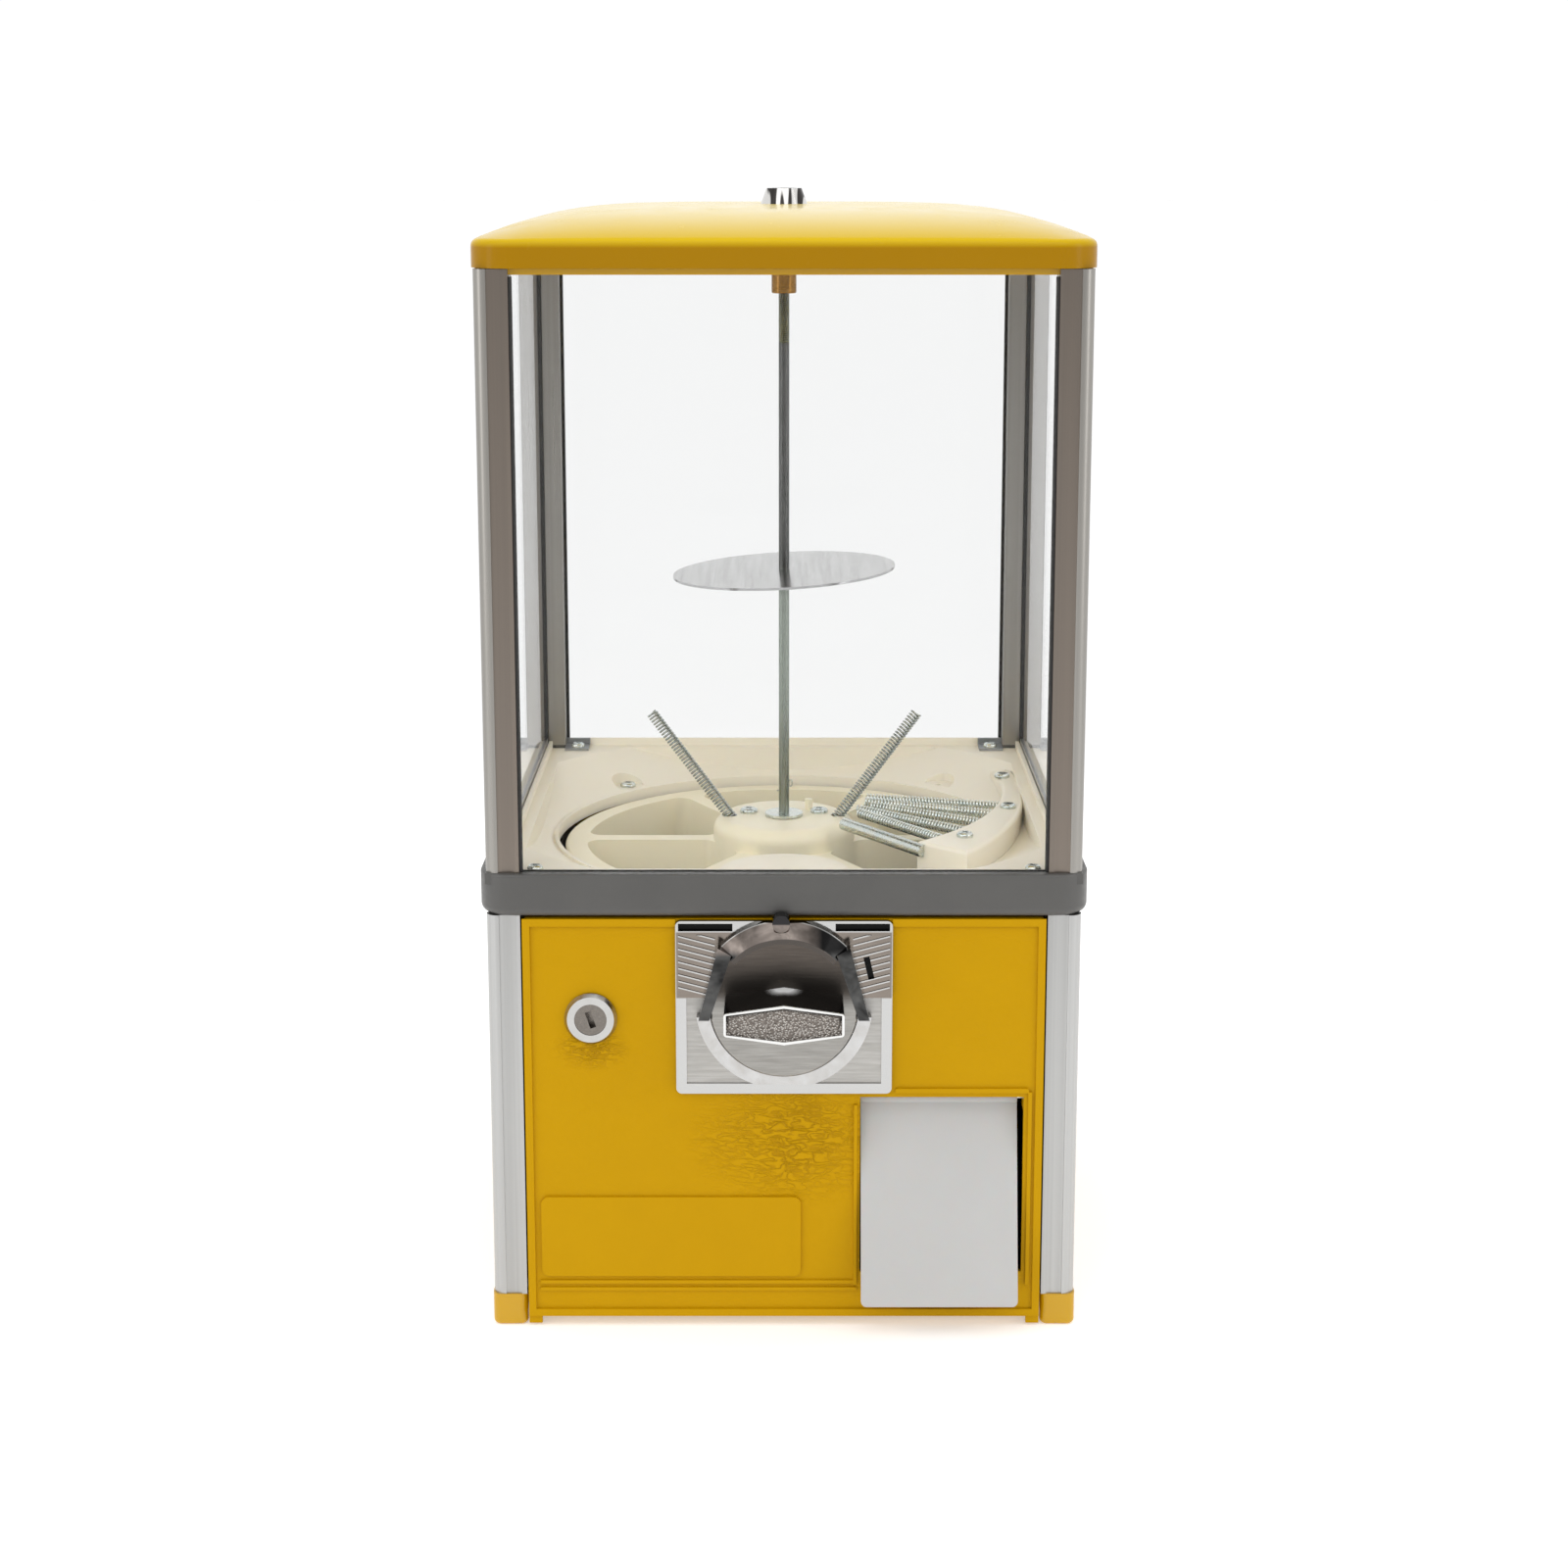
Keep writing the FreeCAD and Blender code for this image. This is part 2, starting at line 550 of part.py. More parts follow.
def panel_ribs():
    """Raised features on the panel's face: border, label plate, ribs and the door surround."""
    y = (PANEL_Y - RAISED, PANEL_Y)
    z0, z1 = PANEL_Z
    edge = 4.0
    border = box((-PANEL_HALF, PANEL_HALF), y, PANEL_Z)
    inside = (-PANEL_HALF + edge, PANEL_HALF - edge)
    border = border.cut(box(inside, (y[0] - 1, y[1] + 1), (z0 + edge, z1 - edge)))
    label = rounded_plate_y((-130.0, 9.0), (29.0, 74.0), 4.0, y)
    ribs = [box((-131.0, 39.0), (y[0] + 0.3, y[1]), (z, z + 1.8)) for z in (20.6, 24.6)]
    upright = box((40.2 - 3.0, 40.2 - 1.2), y, (24.0, 126.0))
    lintel = rounded_plate_y((59.0, 130.0), (132.5, 135.0), 1.0, y)
    jamb = box((DOOR_X[1] + 2.2, DOOR_X[1] + 4.2), y, (24.0, 133.0))
    return [border, label, upright, lintel, jamb] + ribs


def front_panel():
    x = (-PANEL_HALF, PANEL_HALF)
    back = PANEL_Y + PANEL_T
    plate = rounded_plate_y(x, PANEL_Z, 3.0, (PANEL_Y, back))
    flange = rounded_plate_y(x, PANEL_Z, 3.0, (back, back + PANEL_FLANGE))
    inset = (x[0] + PANEL_T, x[1] - PANEL_T)
    flange = flange.cut(box(inset, (back - 1, back + 20), (PANEL_Z[0] + PANEL_T, PANEL_Z[1] - PANEL_T)))
    lugs = [box(sorted((sx * (PANEL_HALF - 7.0), sx * PANEL_HALF)), (PANEL_Y, back), (1.5, PANEL_Z[0] + 2))
            for sx in (-1, 1)]
    ears = [box((e, e + 3.0), (back - 0.5, FLAP_PIN.y + 3.5), (FLAP_PIN.z - 5.0, FLAP_PIN.z + 5.0))
            for e in (DOOR_X[0] - 3.0, DOOR_X[1])]
    pad = [(PANEL_Y + 1, 17.0), (PANEL_Y - 14.0, 17.0), (PANEL_Y - 11.1, 28.0), (PANEL_Y + 1, 28.0)]
    pads = [prism_x(pad, (middle - 3.0, middle + 3.0)) for middle in (60.0, 107.0)]
    shell = joined([plate, flange] + panel_ribs() + lugs + ears + pads)
    for bolt_x, bolt_z in ((-47.0, 146.0), (47.0, 146.0)):
        shell = shell.cut(rod_y(2.5, (PANEL_Y - 1, back + 1), bolt_x, bolt_z))
    shell = shell.cut(box(DOOR_X, (PANEL_Y - 5, back + 1), DOOR_Z))
    shell = shell.cut(box((-MECH_HALF, MECH_HALF), (PANEL_Y - 5, PANEL_Y), (MECH_Z[0], 240)))
    shell = shell.cut(box((-42.0, 42.0), (PANEL_Y - 5, back + 1), (141.0, 222.0)))
    shell = shell.cut(rod_y(10.0, (PANEL_Y - 5, back + 1), LOCK_X, LOCK_Z))
    shell = shell.cut(rod_x(FLAP_PIN_R, (30, 140), FLAP_PIN.y, FLAP_PIN.z))
    save("front_panel", max(shell.Solids, key=lambda s: s.Volume))
    pin_ends = (DOOR_X[0] - 3.0, DOOR_X[1] + 3.0)
    save("flap_pin", rod_x(FLAP_PIN_R, pin_ends, FLAP_PIN.y, FLAP_PIN.z))


def mech_plate():
    """The coin mechanism's face plate: a raised rim, ribbed wings and two recesses at the top."""
    face = PANEL_Y - MECH_T
    x = (-MECH_HALF, MECH_HALF)
    plate = rounded_plate_y(x, MECH_Z, 3.0, (face, PANEL_Y))
    sunk = box((x[0] + MECH_RIM, x[1] - MECH_RIM), (face - 1, face + 1.0), (MECH_Z[0] + MECH_RIM, 186.0))
    plate = plate.cut(sunk)
    ribs = []
    for index in range(WING_RIBS):
        z = 189.0 + index * 3.5
        bar = box((-MECH_HALF + 1.0, -36.0), (face - 0.8, face + 0.2), (z, z + WING_RIB_W))
        bar = turned(bar, WING_RIB_TILT, BACK, V(-46.0, 0, z))
        ribs.append(bar)
        ribs.append(bar.mirror(ORIGIN, RIGHT))
    window = box((-60, 60), (face - 2, PANEL_Y + 1), (186.0, 220.5))
    plate = joined([plate] + [r.common(window) for r in ribs])
    for sx in (-1, 1):
        strip = box(sorted((sx * 27.0, sx * 55.5)), (face - 2, face + 2.2), (222.5, 226.6))
        plate = plate.cut(strip)
    slot = box((43.0, 46.2), (face - 2, face + COIN_SLOT_DEPTH), (196.4, 208.6))
    slot = turned(slot, -13.0, BACK, V(44.6, 0, 202.5))
    plate = plate.cut(slot)
    plate = plate.cut(rod_y(SHAFT_R + 4.0, (face - 5, PANEL_Y + 1), 0, SHAFT_Z))
    for piece in coin_shroud():
        plate = plate.cut(piece)
    save("mech_plate", plate)


def coin_shroud():
    """A polished surround of the knob: a crescent below and a sloped hood with side bars above."""
    face = PANEL_Y - MECH_T
    ring_in = KNOB_R + 0.9
    crescent = rod_y(46.5, (face - 5.0, face), 0, SHAFT_Z)
    crescent = crescent.cut(box((-60, 60), (face - 6, face + 1), (SHAFT_Z - 7.0, 240)))
    crescent = crescent.common(box((-60, 60), (face - 6, face + 1), (SHAFT_Z - 44.0, 240)))
    hood = Part.makeCone(HOOD_LIP_R, HOOD_R, 7.5, V(0, face - HOOD_REACH, SHAFT_Z), BACK)
    hood = hood.fuse(rod_y(HOOD_R, (face - HOOD_REACH + 7.5, face), 0, SHAFT_Z))
    sector = [(0, SHAFT_Z), (-47.6, MECH_Z[1] + 0.4), (47.6, MECH_Z[1] + 0.4)]
    hood = hood.common(prism_y(sector, (face - 20, face)))
    wall = prism_y([(-34.5, 216.5), (-27.5, 212.5), (-39.5, SHAFT_Z - 8), (-45.0, SHAFT_Z - 8)],
                   (face - HOOD_REACH + 0.5, face))
    boss = rod_y(4.6, (face - 9.0, face - 1.0), -1.5, MECH_Z[1] + 1.0)
    ring = joined([crescent, hood, boss, wall, wall.mirror(ORIGIN, RIGHT)])
    ring = ring.cut(rod_y(ring_in, (KNOB_Y[0] - 0.6, face + 1), 0, SHAFT_Z))
    ring = ring.cut(rod_y(HOOD_IN_R, (face - 20, face), 0, SHAFT_Z))
    return [piece for piece in ring.Solids if piece.Volume > 20.0]


def mech_housing():
    """The mechanism's box behind the panel. It carries the shaft and drops coins to the box below."""
    back = PANEL_Y + PANEL_T
    y = (back, -134.0)
    x, z = (-40.0, 40.0), (143.0, 220.0)
    shell = box(x, y, z).cut(box((x[0] + 3, x[1] - 3), (y[0] + 3, y[1] - 3), (z[0] - 1, z[1] - 3)))
    shell = shell.cut(rod_y(SHAFT_R + RUNNING_FIT, (-200, -100), 0, SHAFT_Z))
    legs = [box(sorted((sx * 40.0, sx * 51.0)), (back, back + 3.0), (141.0, 151.0)) for sx in (-1, 1)]
    shell = joined([shell] + legs)
    for sx in (-1, 1):
        shell = shell.cut(rod_y(2.5, (back - 1, back + 4), sx * 47.0, 146.0))
    save("mech_housing", shell)
    bolts = []
    for sx in (-1, 1):
        stem = rod_y(2.5, (PANEL_Y, back + 3.0), sx * 47.0, 146.0)
        head = rod_y(4.5, (back + 3.0, back + 6.0), sx * 47.0, 146.0)
        bolts.append(joined([stem, head]))
    save("mech_bolts", *bolts)


def turn_handle():
    """The coin knob: a disc with a six-sided grip that has a sunk face."""
    disc = rod_y(KNOB_R, KNOB_Y, 0, SHAFT_Z)
    front_edge = [e for e in disc.Edges if abs(e.CenterOfMass.y - KNOB_Y[0]) < 0.01]
    disc = disc.makeFillet(1.0, front_edge)

    def grip_outline(width, end_height, height):
        return [(-width / 2, SHAFT_Z - end_height / 2), (0, SHAFT_Z - height / 2),
                (width / 2, SHAFT_Z - end_height / 2), (width / 2, SHAFT_Z + end_height / 2),
                (0, SHAFT_Z + height / 2), (-width / 2, SHAFT_Z + end_height / 2)]

    grip = prism_y(grip_outline(62.0, 12.0, 21.0), (GRIP_FRONT_Y, KNOB_Y[0] + 0.5))
    grip = grip.makeFillet(1.6, upright_edges(grip, BACK))
    sunk = prism_y(grip_outline(59.5, 10.4, 18.2), (GRIP_FRONT_Y - 1, GRIP_FRONT_Y + 1.4))
    handle = joined([disc, grip]).cut(sunk)
    save("turn_handle", handle)
    shaft = rod_y(SHAFT_R, (KNOB_Y[1], -113.5), 0, SHAFT_Z)
    save("handle_shaft", shaft)
    carrier_y = (-149.0, -143.0)
    carrier = rod_y(31.5, carrier_y, 0, SHAFT_Z).cut(rod_y(SHAFT_R, (-160, -100), 0, SHAFT_Z))
    slot = box((-12.5, 12.5), (carrier_y[0] - 1, carrier_y[0] + 2.6), (SHAFT_Z + 7.0, SHAFT_Z + 33.0))
    save("coin_carrier", carrier.cut(slot))
    collar = rod_y(9.0, (-133.0, PINION_Y[0]), 0, SHAFT_Z).cut(rod_y(SHAFT_R, (-160, -100), 0, SHAFT_Z))
    save("shaft_collar", collar)


def door_lock():
    """A cam lock: a fixed barrel with a bevelled ring, and a plug that turns the cam."""
    y = (PANEL_Y - RAISED - 2.2, -138.0)
    ring = Part.makeCone(12.4, 14.0, 2.2, V(LOCK_X, y[0], LOCK_Z), BACK)
    seat = rod_y(14.0, (y[0] + 2.2, PANEL_Y), LOCK_X, LOCK_Z)
    barrel = joined([ring, seat, rod_y(10.0, (y[0] + 2.2, y[1]), LOCK_X, LOCK_Z)])
    barrel = barrel.cut(rod_y(8.5 + RUNNING_FIT, (y[0] - 1, y[1] + 1), LOCK_X, LOCK_Z))
    save("lock_barrel", barrel)
    nut = rod_y(14.0, (PANEL_Y + PANEL_T, PANEL_Y + PANEL_T + 4.0), LOCK_X, LOCK_Z)
    nut = nut.cut(rod_y(10.0, (-160, -140), LOCK_X, LOCK_Z))
    flats = box((LOCK_X - 12.0, LOCK_X + 12.0), (-160, -140), (LOCK_Z - 15, LOCK_Z + 15))
    save("lock_nut", nut.common(flats))
    plug = rod_y(8.5, (y[0] + 0.5, -137.6), LOCK_X, LOCK_Z)
    keyway = box((LOCK_X - 1.6, LOCK_X + 1.6), (y[0] - 1, y[0] + 6.0), (LOCK_Z - 4.6, LOCK_Z + 4.6))
    keyway = turned(keyway, -18.0, BACK, V(LOCK_X, 0, LOCK_Z))
    save("lock_plug", plug.cut(keyway))
    cam = box((LOCK_X - 6.0, LOCK_X + 6.0), (-137.6, -135.2), (LOCK_Z - 42.0, LOCK_Z + 8.0))
    save("lock_cam", cam.makeFillet(5.0, upright_edges(cam, BACK)))


def delivery_flap():
    """The flap hangs from its pin and leans out over the sill. It swings outward."""
    pin_y, pin_z = FLAP_PIN.y, FLAP_PIN.z
    skin = box(FLAP_X, (pin_y - FLAP_T / 2, pin_y + FLAP_T / 2), (pin_z - FLAP_LENGTH, pin_z))
    low_corners = [e for e in upright_edges(skin, BACK) if e.CenterOfMass.z < pin_z - 50]
    skin = skin.makeFillet(3.0, low_corners)
    knuckle = rod_x(3.6, FLAP_X, pin_y, pin_z)
    flap = joined([skin, knuckle]).cut(rod_x(FLAP_PIN_R + RUNNING_FIT, (30, 140), pin_y, pin_z))
    save("delivery_flap", turned(flap, -FLAP_LEAN, RIGHT, FLAP_PIN))


def pillow_top(half, rim_top, crest):
    """A smooth surface, nearly flat in the middle, that meets its four straight edges at one height."""
    def rise(value):
        return 1.0 - abs(value / half) ** LID_FLATNESS

    steps = [half * i / LID_GRID for i in range(-LID_GRID, LID_GRID + 1)]
    grid = [[V(x, y, rim_top + (crest - rim_top) * rise(x) * rise(y)) for y in steps] for x in steps]
    surface = Part.BSplineSurface()
    surface.interpolate(grid)
    return surface.toShape()


def lid_form(half, corner_r, rim_top, crest, z0):
    """A rounded square block under a pillow-shaped top."""
    depth = 40.0
    block = pillow_top(half + 1.0, rim_top, crest).extrude(V(0, 0, -depth))
    return block.common(rounded_square(half, corner_r, (z0, crest + 5.0)))


def lid():
    outer = lid_form(LID_HALF, LID_CORNER_R, LID_RIM_TOP, LID_CREST, LID_Z)
    rim = [e for e in outer.Edges if e.CenterOfMass.z > LID_Z + 9.0 and e not in upright_edges(outer)]
    outer = outer.makeFillet(LID_EDGE_R, rim)
    inner = lid_form(LID_HALF - LID_T, LID_CORNER_R - LID_T, LID_RIM_TOP - LID_T - 1.0, LID_CREST - LID_T,
                     LID_Z - 1)
    shell = outer.cut(inner).cut(rod_z(9.5, (LID_Z, 610)))
    save("lid_shell", max(shell.Solids, key=lambda s: s.Volume))
    ring = Part.makeCone(13.0, 9.85, LOCK_TOP - LID_CREST + 0.6, V(0, 0, LID_CREST), UP)
    barrel = rod_z(9.5, (LID_CREST - 13.0, LID_CREST + 0.1))
    ring = joined([ring, barrel]).cut(rod_z(7.0 + RUNNING_FIT, (500, 620)))
    save("lid_lock_ring", ring)
    clip = rod_z(14.0, (LID_CREST - LID_T - 4.0, LID_CREST - LID_T - 0.2)).cut(rod_z(9.5, (500, 620)))
    save("lid_lock_nut", clip)


def top_lock():
    plug = rod_z(7.0, (NUT_Z[1], LOCK_TOP - 0.2))
    keyway = turned(box((-1.1, 1.1), (-4.4, 4.4), (LOCK_TOP - 5.0, LOCK_TOP + 1)), 20.0)
    save("top_lock_plug", plug.cut(keyway))
    nut = rod_z(7.0, NUT_Z)
    nut = nut.makeFillet(0.8, [e for e in nut.Edges if e.CenterOfMass.z < NUT_Z[0] + 0.01])
    save("brass_nut", nut.cut(rod_z(ROD_R + RUNNING_FIT, (500, NUT_Z[1] - 1.5))))


def level_disc():
    """A bright disc on the rod, tipped a little, with a rubber bush under it that grips the rod."""
    disc = rod_z(DISC_R, (DISC_Z - DISC_T / 2, DISC_Z + DISC_T / 2))
    bush = rod_z(BUSH_R, (DISC_Z - DISC_T / 2 - 5.0, DISC_Z - DISC_T / 2))
    centre = V(0, 0, DISC_Z)
    for node, shape in (("level_disc", disc), ("disc_grommet", bush)):
        leaning = turned(shape, -DISC_LEAN, BACK, centre)
        save(node, leaning.cut(rod_z(ROD_R + RUNNING_FIT, (300, 500))))


os.makedirs("parts", exist_ok=True)
corner_posts()
base_band()
lower_panels()
windows()
top_frame()
product_tray()
wheel_shield()
wheel_floor()
capsule_chute()
cash_box()
centre_rod()
corner_brackets()
spring_cover()
capsule_wheel()
ring_gear()
drive_pinion()
front_panel()
mech_plate()
save("coin_shroud", *coin_shroud())
mech_housing()
turn_handle()
door_lock()
delivery_flap()
lid()
top_lock()
level_disc()
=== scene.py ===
"""A countertop capsule vending machine: materials, springs, seals, studio and camera round the CAD frame."""
import json
import math

import bmesh
import bpy
import numpy as np
from mathutils import Matrix, Vector


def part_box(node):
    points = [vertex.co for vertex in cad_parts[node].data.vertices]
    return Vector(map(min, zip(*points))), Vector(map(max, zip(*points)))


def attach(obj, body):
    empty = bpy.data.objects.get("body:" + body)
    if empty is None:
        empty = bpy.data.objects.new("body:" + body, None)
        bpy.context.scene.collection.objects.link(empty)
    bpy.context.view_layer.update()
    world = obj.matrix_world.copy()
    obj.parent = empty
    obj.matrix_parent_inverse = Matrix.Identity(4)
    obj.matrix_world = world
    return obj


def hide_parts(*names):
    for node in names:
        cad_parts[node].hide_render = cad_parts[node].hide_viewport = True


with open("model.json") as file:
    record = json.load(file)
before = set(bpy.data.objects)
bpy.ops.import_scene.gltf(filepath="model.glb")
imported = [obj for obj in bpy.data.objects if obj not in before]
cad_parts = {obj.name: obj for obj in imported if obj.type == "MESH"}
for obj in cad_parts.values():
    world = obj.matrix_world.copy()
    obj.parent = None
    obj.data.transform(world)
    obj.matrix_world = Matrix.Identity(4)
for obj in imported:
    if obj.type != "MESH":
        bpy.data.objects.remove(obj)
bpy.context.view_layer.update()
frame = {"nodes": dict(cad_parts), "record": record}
NODES = frame["nodes"]
MM = 0.001
# Most values of a noise texture lie between these.
NOISE_SPAN = (0.3, 0.7)


# ---------------------------------------------------------------- node helpers

class Shader:
    """A material with one Principled shader and short calls that add nodes in front of it."""

    def __init__(self, name, color, metallic=0.0, roughness=0.5, **sockets):
        self.mat = bpy.data.materials.new(name)
        self.mat.use_nodes = True
        self.tree = self.mat.node_tree
        self.shader = self.tree.nodes["Principled BSDF"]
        self.set("Base Color", (*color, 1.0))
        self.set("Metallic", metallic)
        self.set("Roughness", roughness)
        for key, value in sockets.items():
            self.set(key.replace("_", " "), value)
        self.coords = self.node("ShaderNodeTexCoord").outputs["Object"]

    def set(self, socket, value):
        self.shader.inputs[socket].default_value = value

    def node(self, kind, **props):
        made = self.tree.nodes.new(kind)
        for key, value in props.items():
            setattr(made, key, value)
        return made

    def link(self, source, target):
        self.tree.links.new(source, target)

    def stretched(self, scale):
        mapping = self.node("ShaderNodeMapping")
        self.link(self.coords, mapping.inputs["Vector"])
        mapping.inputs["Scale"].default_value = scale
        return mapping.outputs["Vector"]

    def noise(self, scale, detail=3.0, rough=0.5, stretch=None, distortion=0.0):
        tex = self.node("ShaderNodeTexNoise", noise_type="FBM")
        self.link(self.stretched(stretch) if stretch else self.coords, tex.inputs["Vector"])
        tex.inputs["Scale"].default_value = scale
        tex.inputs["Detail"].default_value = detail
        tex.inputs["Roughness"].default_value = rough
        tex.inputs["Distortion"].default_value = distortion
        return tex.outputs[0]

    def cells(self, scale, smooth):
        tex = self.node("ShaderNodeTexVoronoi", feature="SMOOTH_F1")
        self.link(self.coords, tex.inputs["Vector"])
        tex.inputs["Scale"].default_value = scale
        tex.inputs["Smoothness"].default_value = smooth
        return tex.outputs["Distance"]

    def axis(self, letter):
        """One object coordinate, in metres in the machine's frame."""
        split = self.node("ShaderNodeSeparateXYZ")
        self.link(self.coords, split.inputs[0])
        return split.outputs[letter]

    def math(self, operation, a, b=0.0):
        made = self.node("ShaderNodeMath", operation=operation)
        for socket, value in zip(made.inputs, (a, b)):
            if isinstance(value, (int, float)):
                socket.default_value = value
            else:
                self.link(value, socket)
        return made.outputs[0]

    def times(self, first, second):
        return self.math("MULTIPLY", first, second)

    def minus(self, first, second):
        return self.math("SUBTRACT", first, second)

    def distance(self, a, b):
        """The length of the vector (a, b)."""
        return self.math("SQRT", self.math("ADD", self.times(a, a), self.times(b, b)))

    def remap(self, value, low, high, to_low=0.0, to_high=1.0):
        """Maps low..high onto to_low..to_high, held beyond both ends. The defaults make a soft mask."""
        made = self.node("ShaderNodeMapRange")
        self.link(value, made.inputs["Value"])
        made.inputs["From Min"].default_value = low
        made.inputs["From Max"].default_value = high
        made.inputs["To Min"].default_value = to_low
        made.inputs["To Max"].default_value = to_high
        return made.outputs["Result"]

    def mix(self, factor, first, second):
        made = self.node("ShaderNodeMix", data_type="RGBA")
        self.link(factor, made.inputs[0])
        for socket, value in ((made.inputs[6], first), (made.inputs[7], second)):
            if isinstance(value, tuple):
                socket.default_value = (*value, 1.0)
            else:
                self.link(value, socket)
        return made.outputs[2]

    def color(self, source):
        self.link(source, self.shader.inputs["Base Color"])

    def roughness(self, source, low, high):
        """Roughness from low to high along the usual span of a noise."""
        self.link(self.remap(source, *NOISE_SPAN, low, high), self.shader.inputs["Roughness"])

    def bump(self, height, distance, strength=1.0):
        made = self.node("ShaderNodeBump")
        if isinstance(strength, (int, float)):
            made.inputs["Strength"].default_value = strength
        else:
            self.link(strength, made.inputs["Strength"])
        made.inputs["Distance"].default_value = distance
        self.link(height, made.inputs["Height"])
        self.link(made.outputs["Normal"], self.shader.inputs["Normal"])


# ---------------------------------------------------------------- materials

YELLOW = (0.525, 0.288, 0.0004)
YELLOW_WORN = (0.485, 0.263, 0.0006)
# Painted shade for the creases of the wrinkles.
PAINTED_CREASE_SHADE = (0.26, 0.115, 0.001)
CHROME = (0.50, 0.50, 0.495)

# A pair named for X, Y or Z is a soft edge between two tones of a body, in metres: the mask is 0 at its first
# number and 1 at its second.

# Panel: its raised label and frame stand in front of this.
PANEL_RELIEF_Y = (-0.1574, -0.1580)
# Wrinkled patches of the paint: centre x and z, reach in x and z.
UNDER_MECHANISM = (0.006, 0.107, 0.050, 0.034)
UNDER_LOCK = (-0.1025, 0.157, 0.018, 0.011)


def hammered_paint():
    """Yellow paint over a casting: a fine hammered skin, and leathery wrinkles in two patches, their creases
    painted darker as shade.
    """
    s = Shader("hammered_yellow_paint", YELLOW, roughness=0.36, Specular_IOR_Level=0.07)
    s.roughness(s.noise(240.0, 3.0), 0.28, 0.46)
    x, z = s.axis("X"), s.axis("Z")

    def patch(centre_x, centre_z, reach_x, reach_z):
        dx = s.math("DIVIDE", s.minus(x, centre_x), reach_x)
        dz = s.math("DIVIDE", s.minus(z, centre_z), reach_z)
        return s.remap(s.distance(dx, dz), 1.25, 0.35)

    ragged = s.remap(s.noise(34.0, 3.0, 0.6), 0.35, 0.65, 0.55, 1.0)
    patches = s.math("MAXIMUM", patch(*UNDER_MECHANISM), patch(*UNDER_LOCK))
    flat = s.remap(s.axis("Y"), *PANEL_RELIEF_Y, 1.0, 0.10)
    wrinkled = s.times(s.times(patches, ragged), flat)
    creases = s.noise(210.0, 2.5, 0.5, stretch=(0.60, 1.0, 1.5), distortion=0.9)
    folds = s.remap(s.math("ABSOLUTE", s.minus(creases, 0.5)), 0.0, 0.09)
    skin = s.noise(170.0, 3.0, 0.55, stretch=(0.8, 1.0, 1.2), distortion=0.5)
    fine = s.times(skin, s.times(flat, 0.34))
    s.bump(s.math("ADD", s.times(folds, wrinkled), fine), 0.0013, 0.65)
    worn = s.mix(s.noise(28.0, 4.0, 0.6), YELLOW, YELLOW_WORN)
    # Painted shade: the colour darkens along the wrinkles' creases.
    shade = s.times(s.minus(1.0, folds), wrinkled)
    s.color(s.mix(s.times(shade, 0.42), worn, PAINTED_CREASE_SHADE))
    return s.mat


def sheet_paint():
    """The same paint on the plain sheet-steel sides: fine orange peel only."""
    s = Shader("smooth_yellow_paint", YELLOW, roughness=0.3, Specular_IOR_Level=0.2)
    s.color(s.mix(s.noise(9.0, 3.0), YELLOW, YELLOW_WORN))
    s.roughness(s.noise(160.0, 3.0), 0.22, 0.36)
    s.bump(s.noise(520.0, 2.0), 0.00025, 0.35)
    return s.mat


def gloss_plastic(name, color, darker, roughness=0.14):
    """Smooth moulded plastic under a thin clear gloss."""
    s = Shader(name, color, roughness=roughness, Coat_Weight=0.3, Coat_Roughness=0.05,
               Specular_IOR_Level=0.35)
    s.color(s.mix(s.noise(14.0, 3.0), color, darker))
    s.roughness(s.noise(60.0, 4.0), roughness * 0.8, roughness * 1.5)
    s.bump(s.noise(55.0, 2.0), 0.0004, 0.05)
    return s.mat


# Lid: the skirt, painted darker as shade, ends, and then the crown, painted pale as a highlight, begins.
LID_SHADED_SKIRT_Z = (0.5765, 0.5805)
LID_GLARE_CROWN_Z = (0.5815, 0.5935)


def lid_plastic():
    """Glossy yellow moulding with painted light: a deep yellow skirt that is painted shade, lemon over the
    edge, and a painted highlight of pale glare on the crown.
    """
    s = Shader("lid_yellow_plastic", (0.5, 0.26, 0.001), roughness=0.22, Coat_Weight=0.08,
               Coat_Roughness=0.08, Specular_IOR_Level=0.08)
    z = s.axis("Z")
    # Painted light: one yellow in lit and shaded copies, darker on the skirt, lighter over the edge, pale on
    # the crown.
    skirt = s.mix(s.noise(14.0, 3.0), (0.355, 0.178, 0.0003), (0.335, 0.166, 0.0003))
    edge = s.mix(s.noise(9.0, 3.0), (0.68, 0.46, 0.006), (0.66, 0.44, 0.006))
    top = s.mix(s.remap(z, *LID_GLARE_CROWN_Z), edge, (0.80, 0.65, 0.26))
    s.color(s.mix(s.remap(z, *LID_SHADED_SKIRT_Z), skirt, top))
    s.roughness(s.noise(60.0, 4.0), 0.15, 0.28)
    s.bump(s.noise(55.0, 2.0), 0.0004, 0.05)
    return s.mat


def dark_plastic():
    """Dark grey moulded plastic with a fine satin grain."""
    s = Shader("waist_band_plastic", (0.09, 0.088, 0.083), roughness=0.38)
    s.color(s.mix(s.noise(40.0, 4.0), (0.088, 0.086, 0.081), (0.071, 0.069, 0.066)))
    s.roughness(s.noise(300.0, 3.0), 0.30, 0.46)
    s.bump(s.noise(1500.0, 2.0), 0.0001, 0.4)
    return s.mat


# Posts: the corner edge of the channel, and the outer skin that it is cut into.
POST_CHANNEL_EDGE = (0.1498, 0.1494)
POST_SKIN = (0.1548, 0.1552)


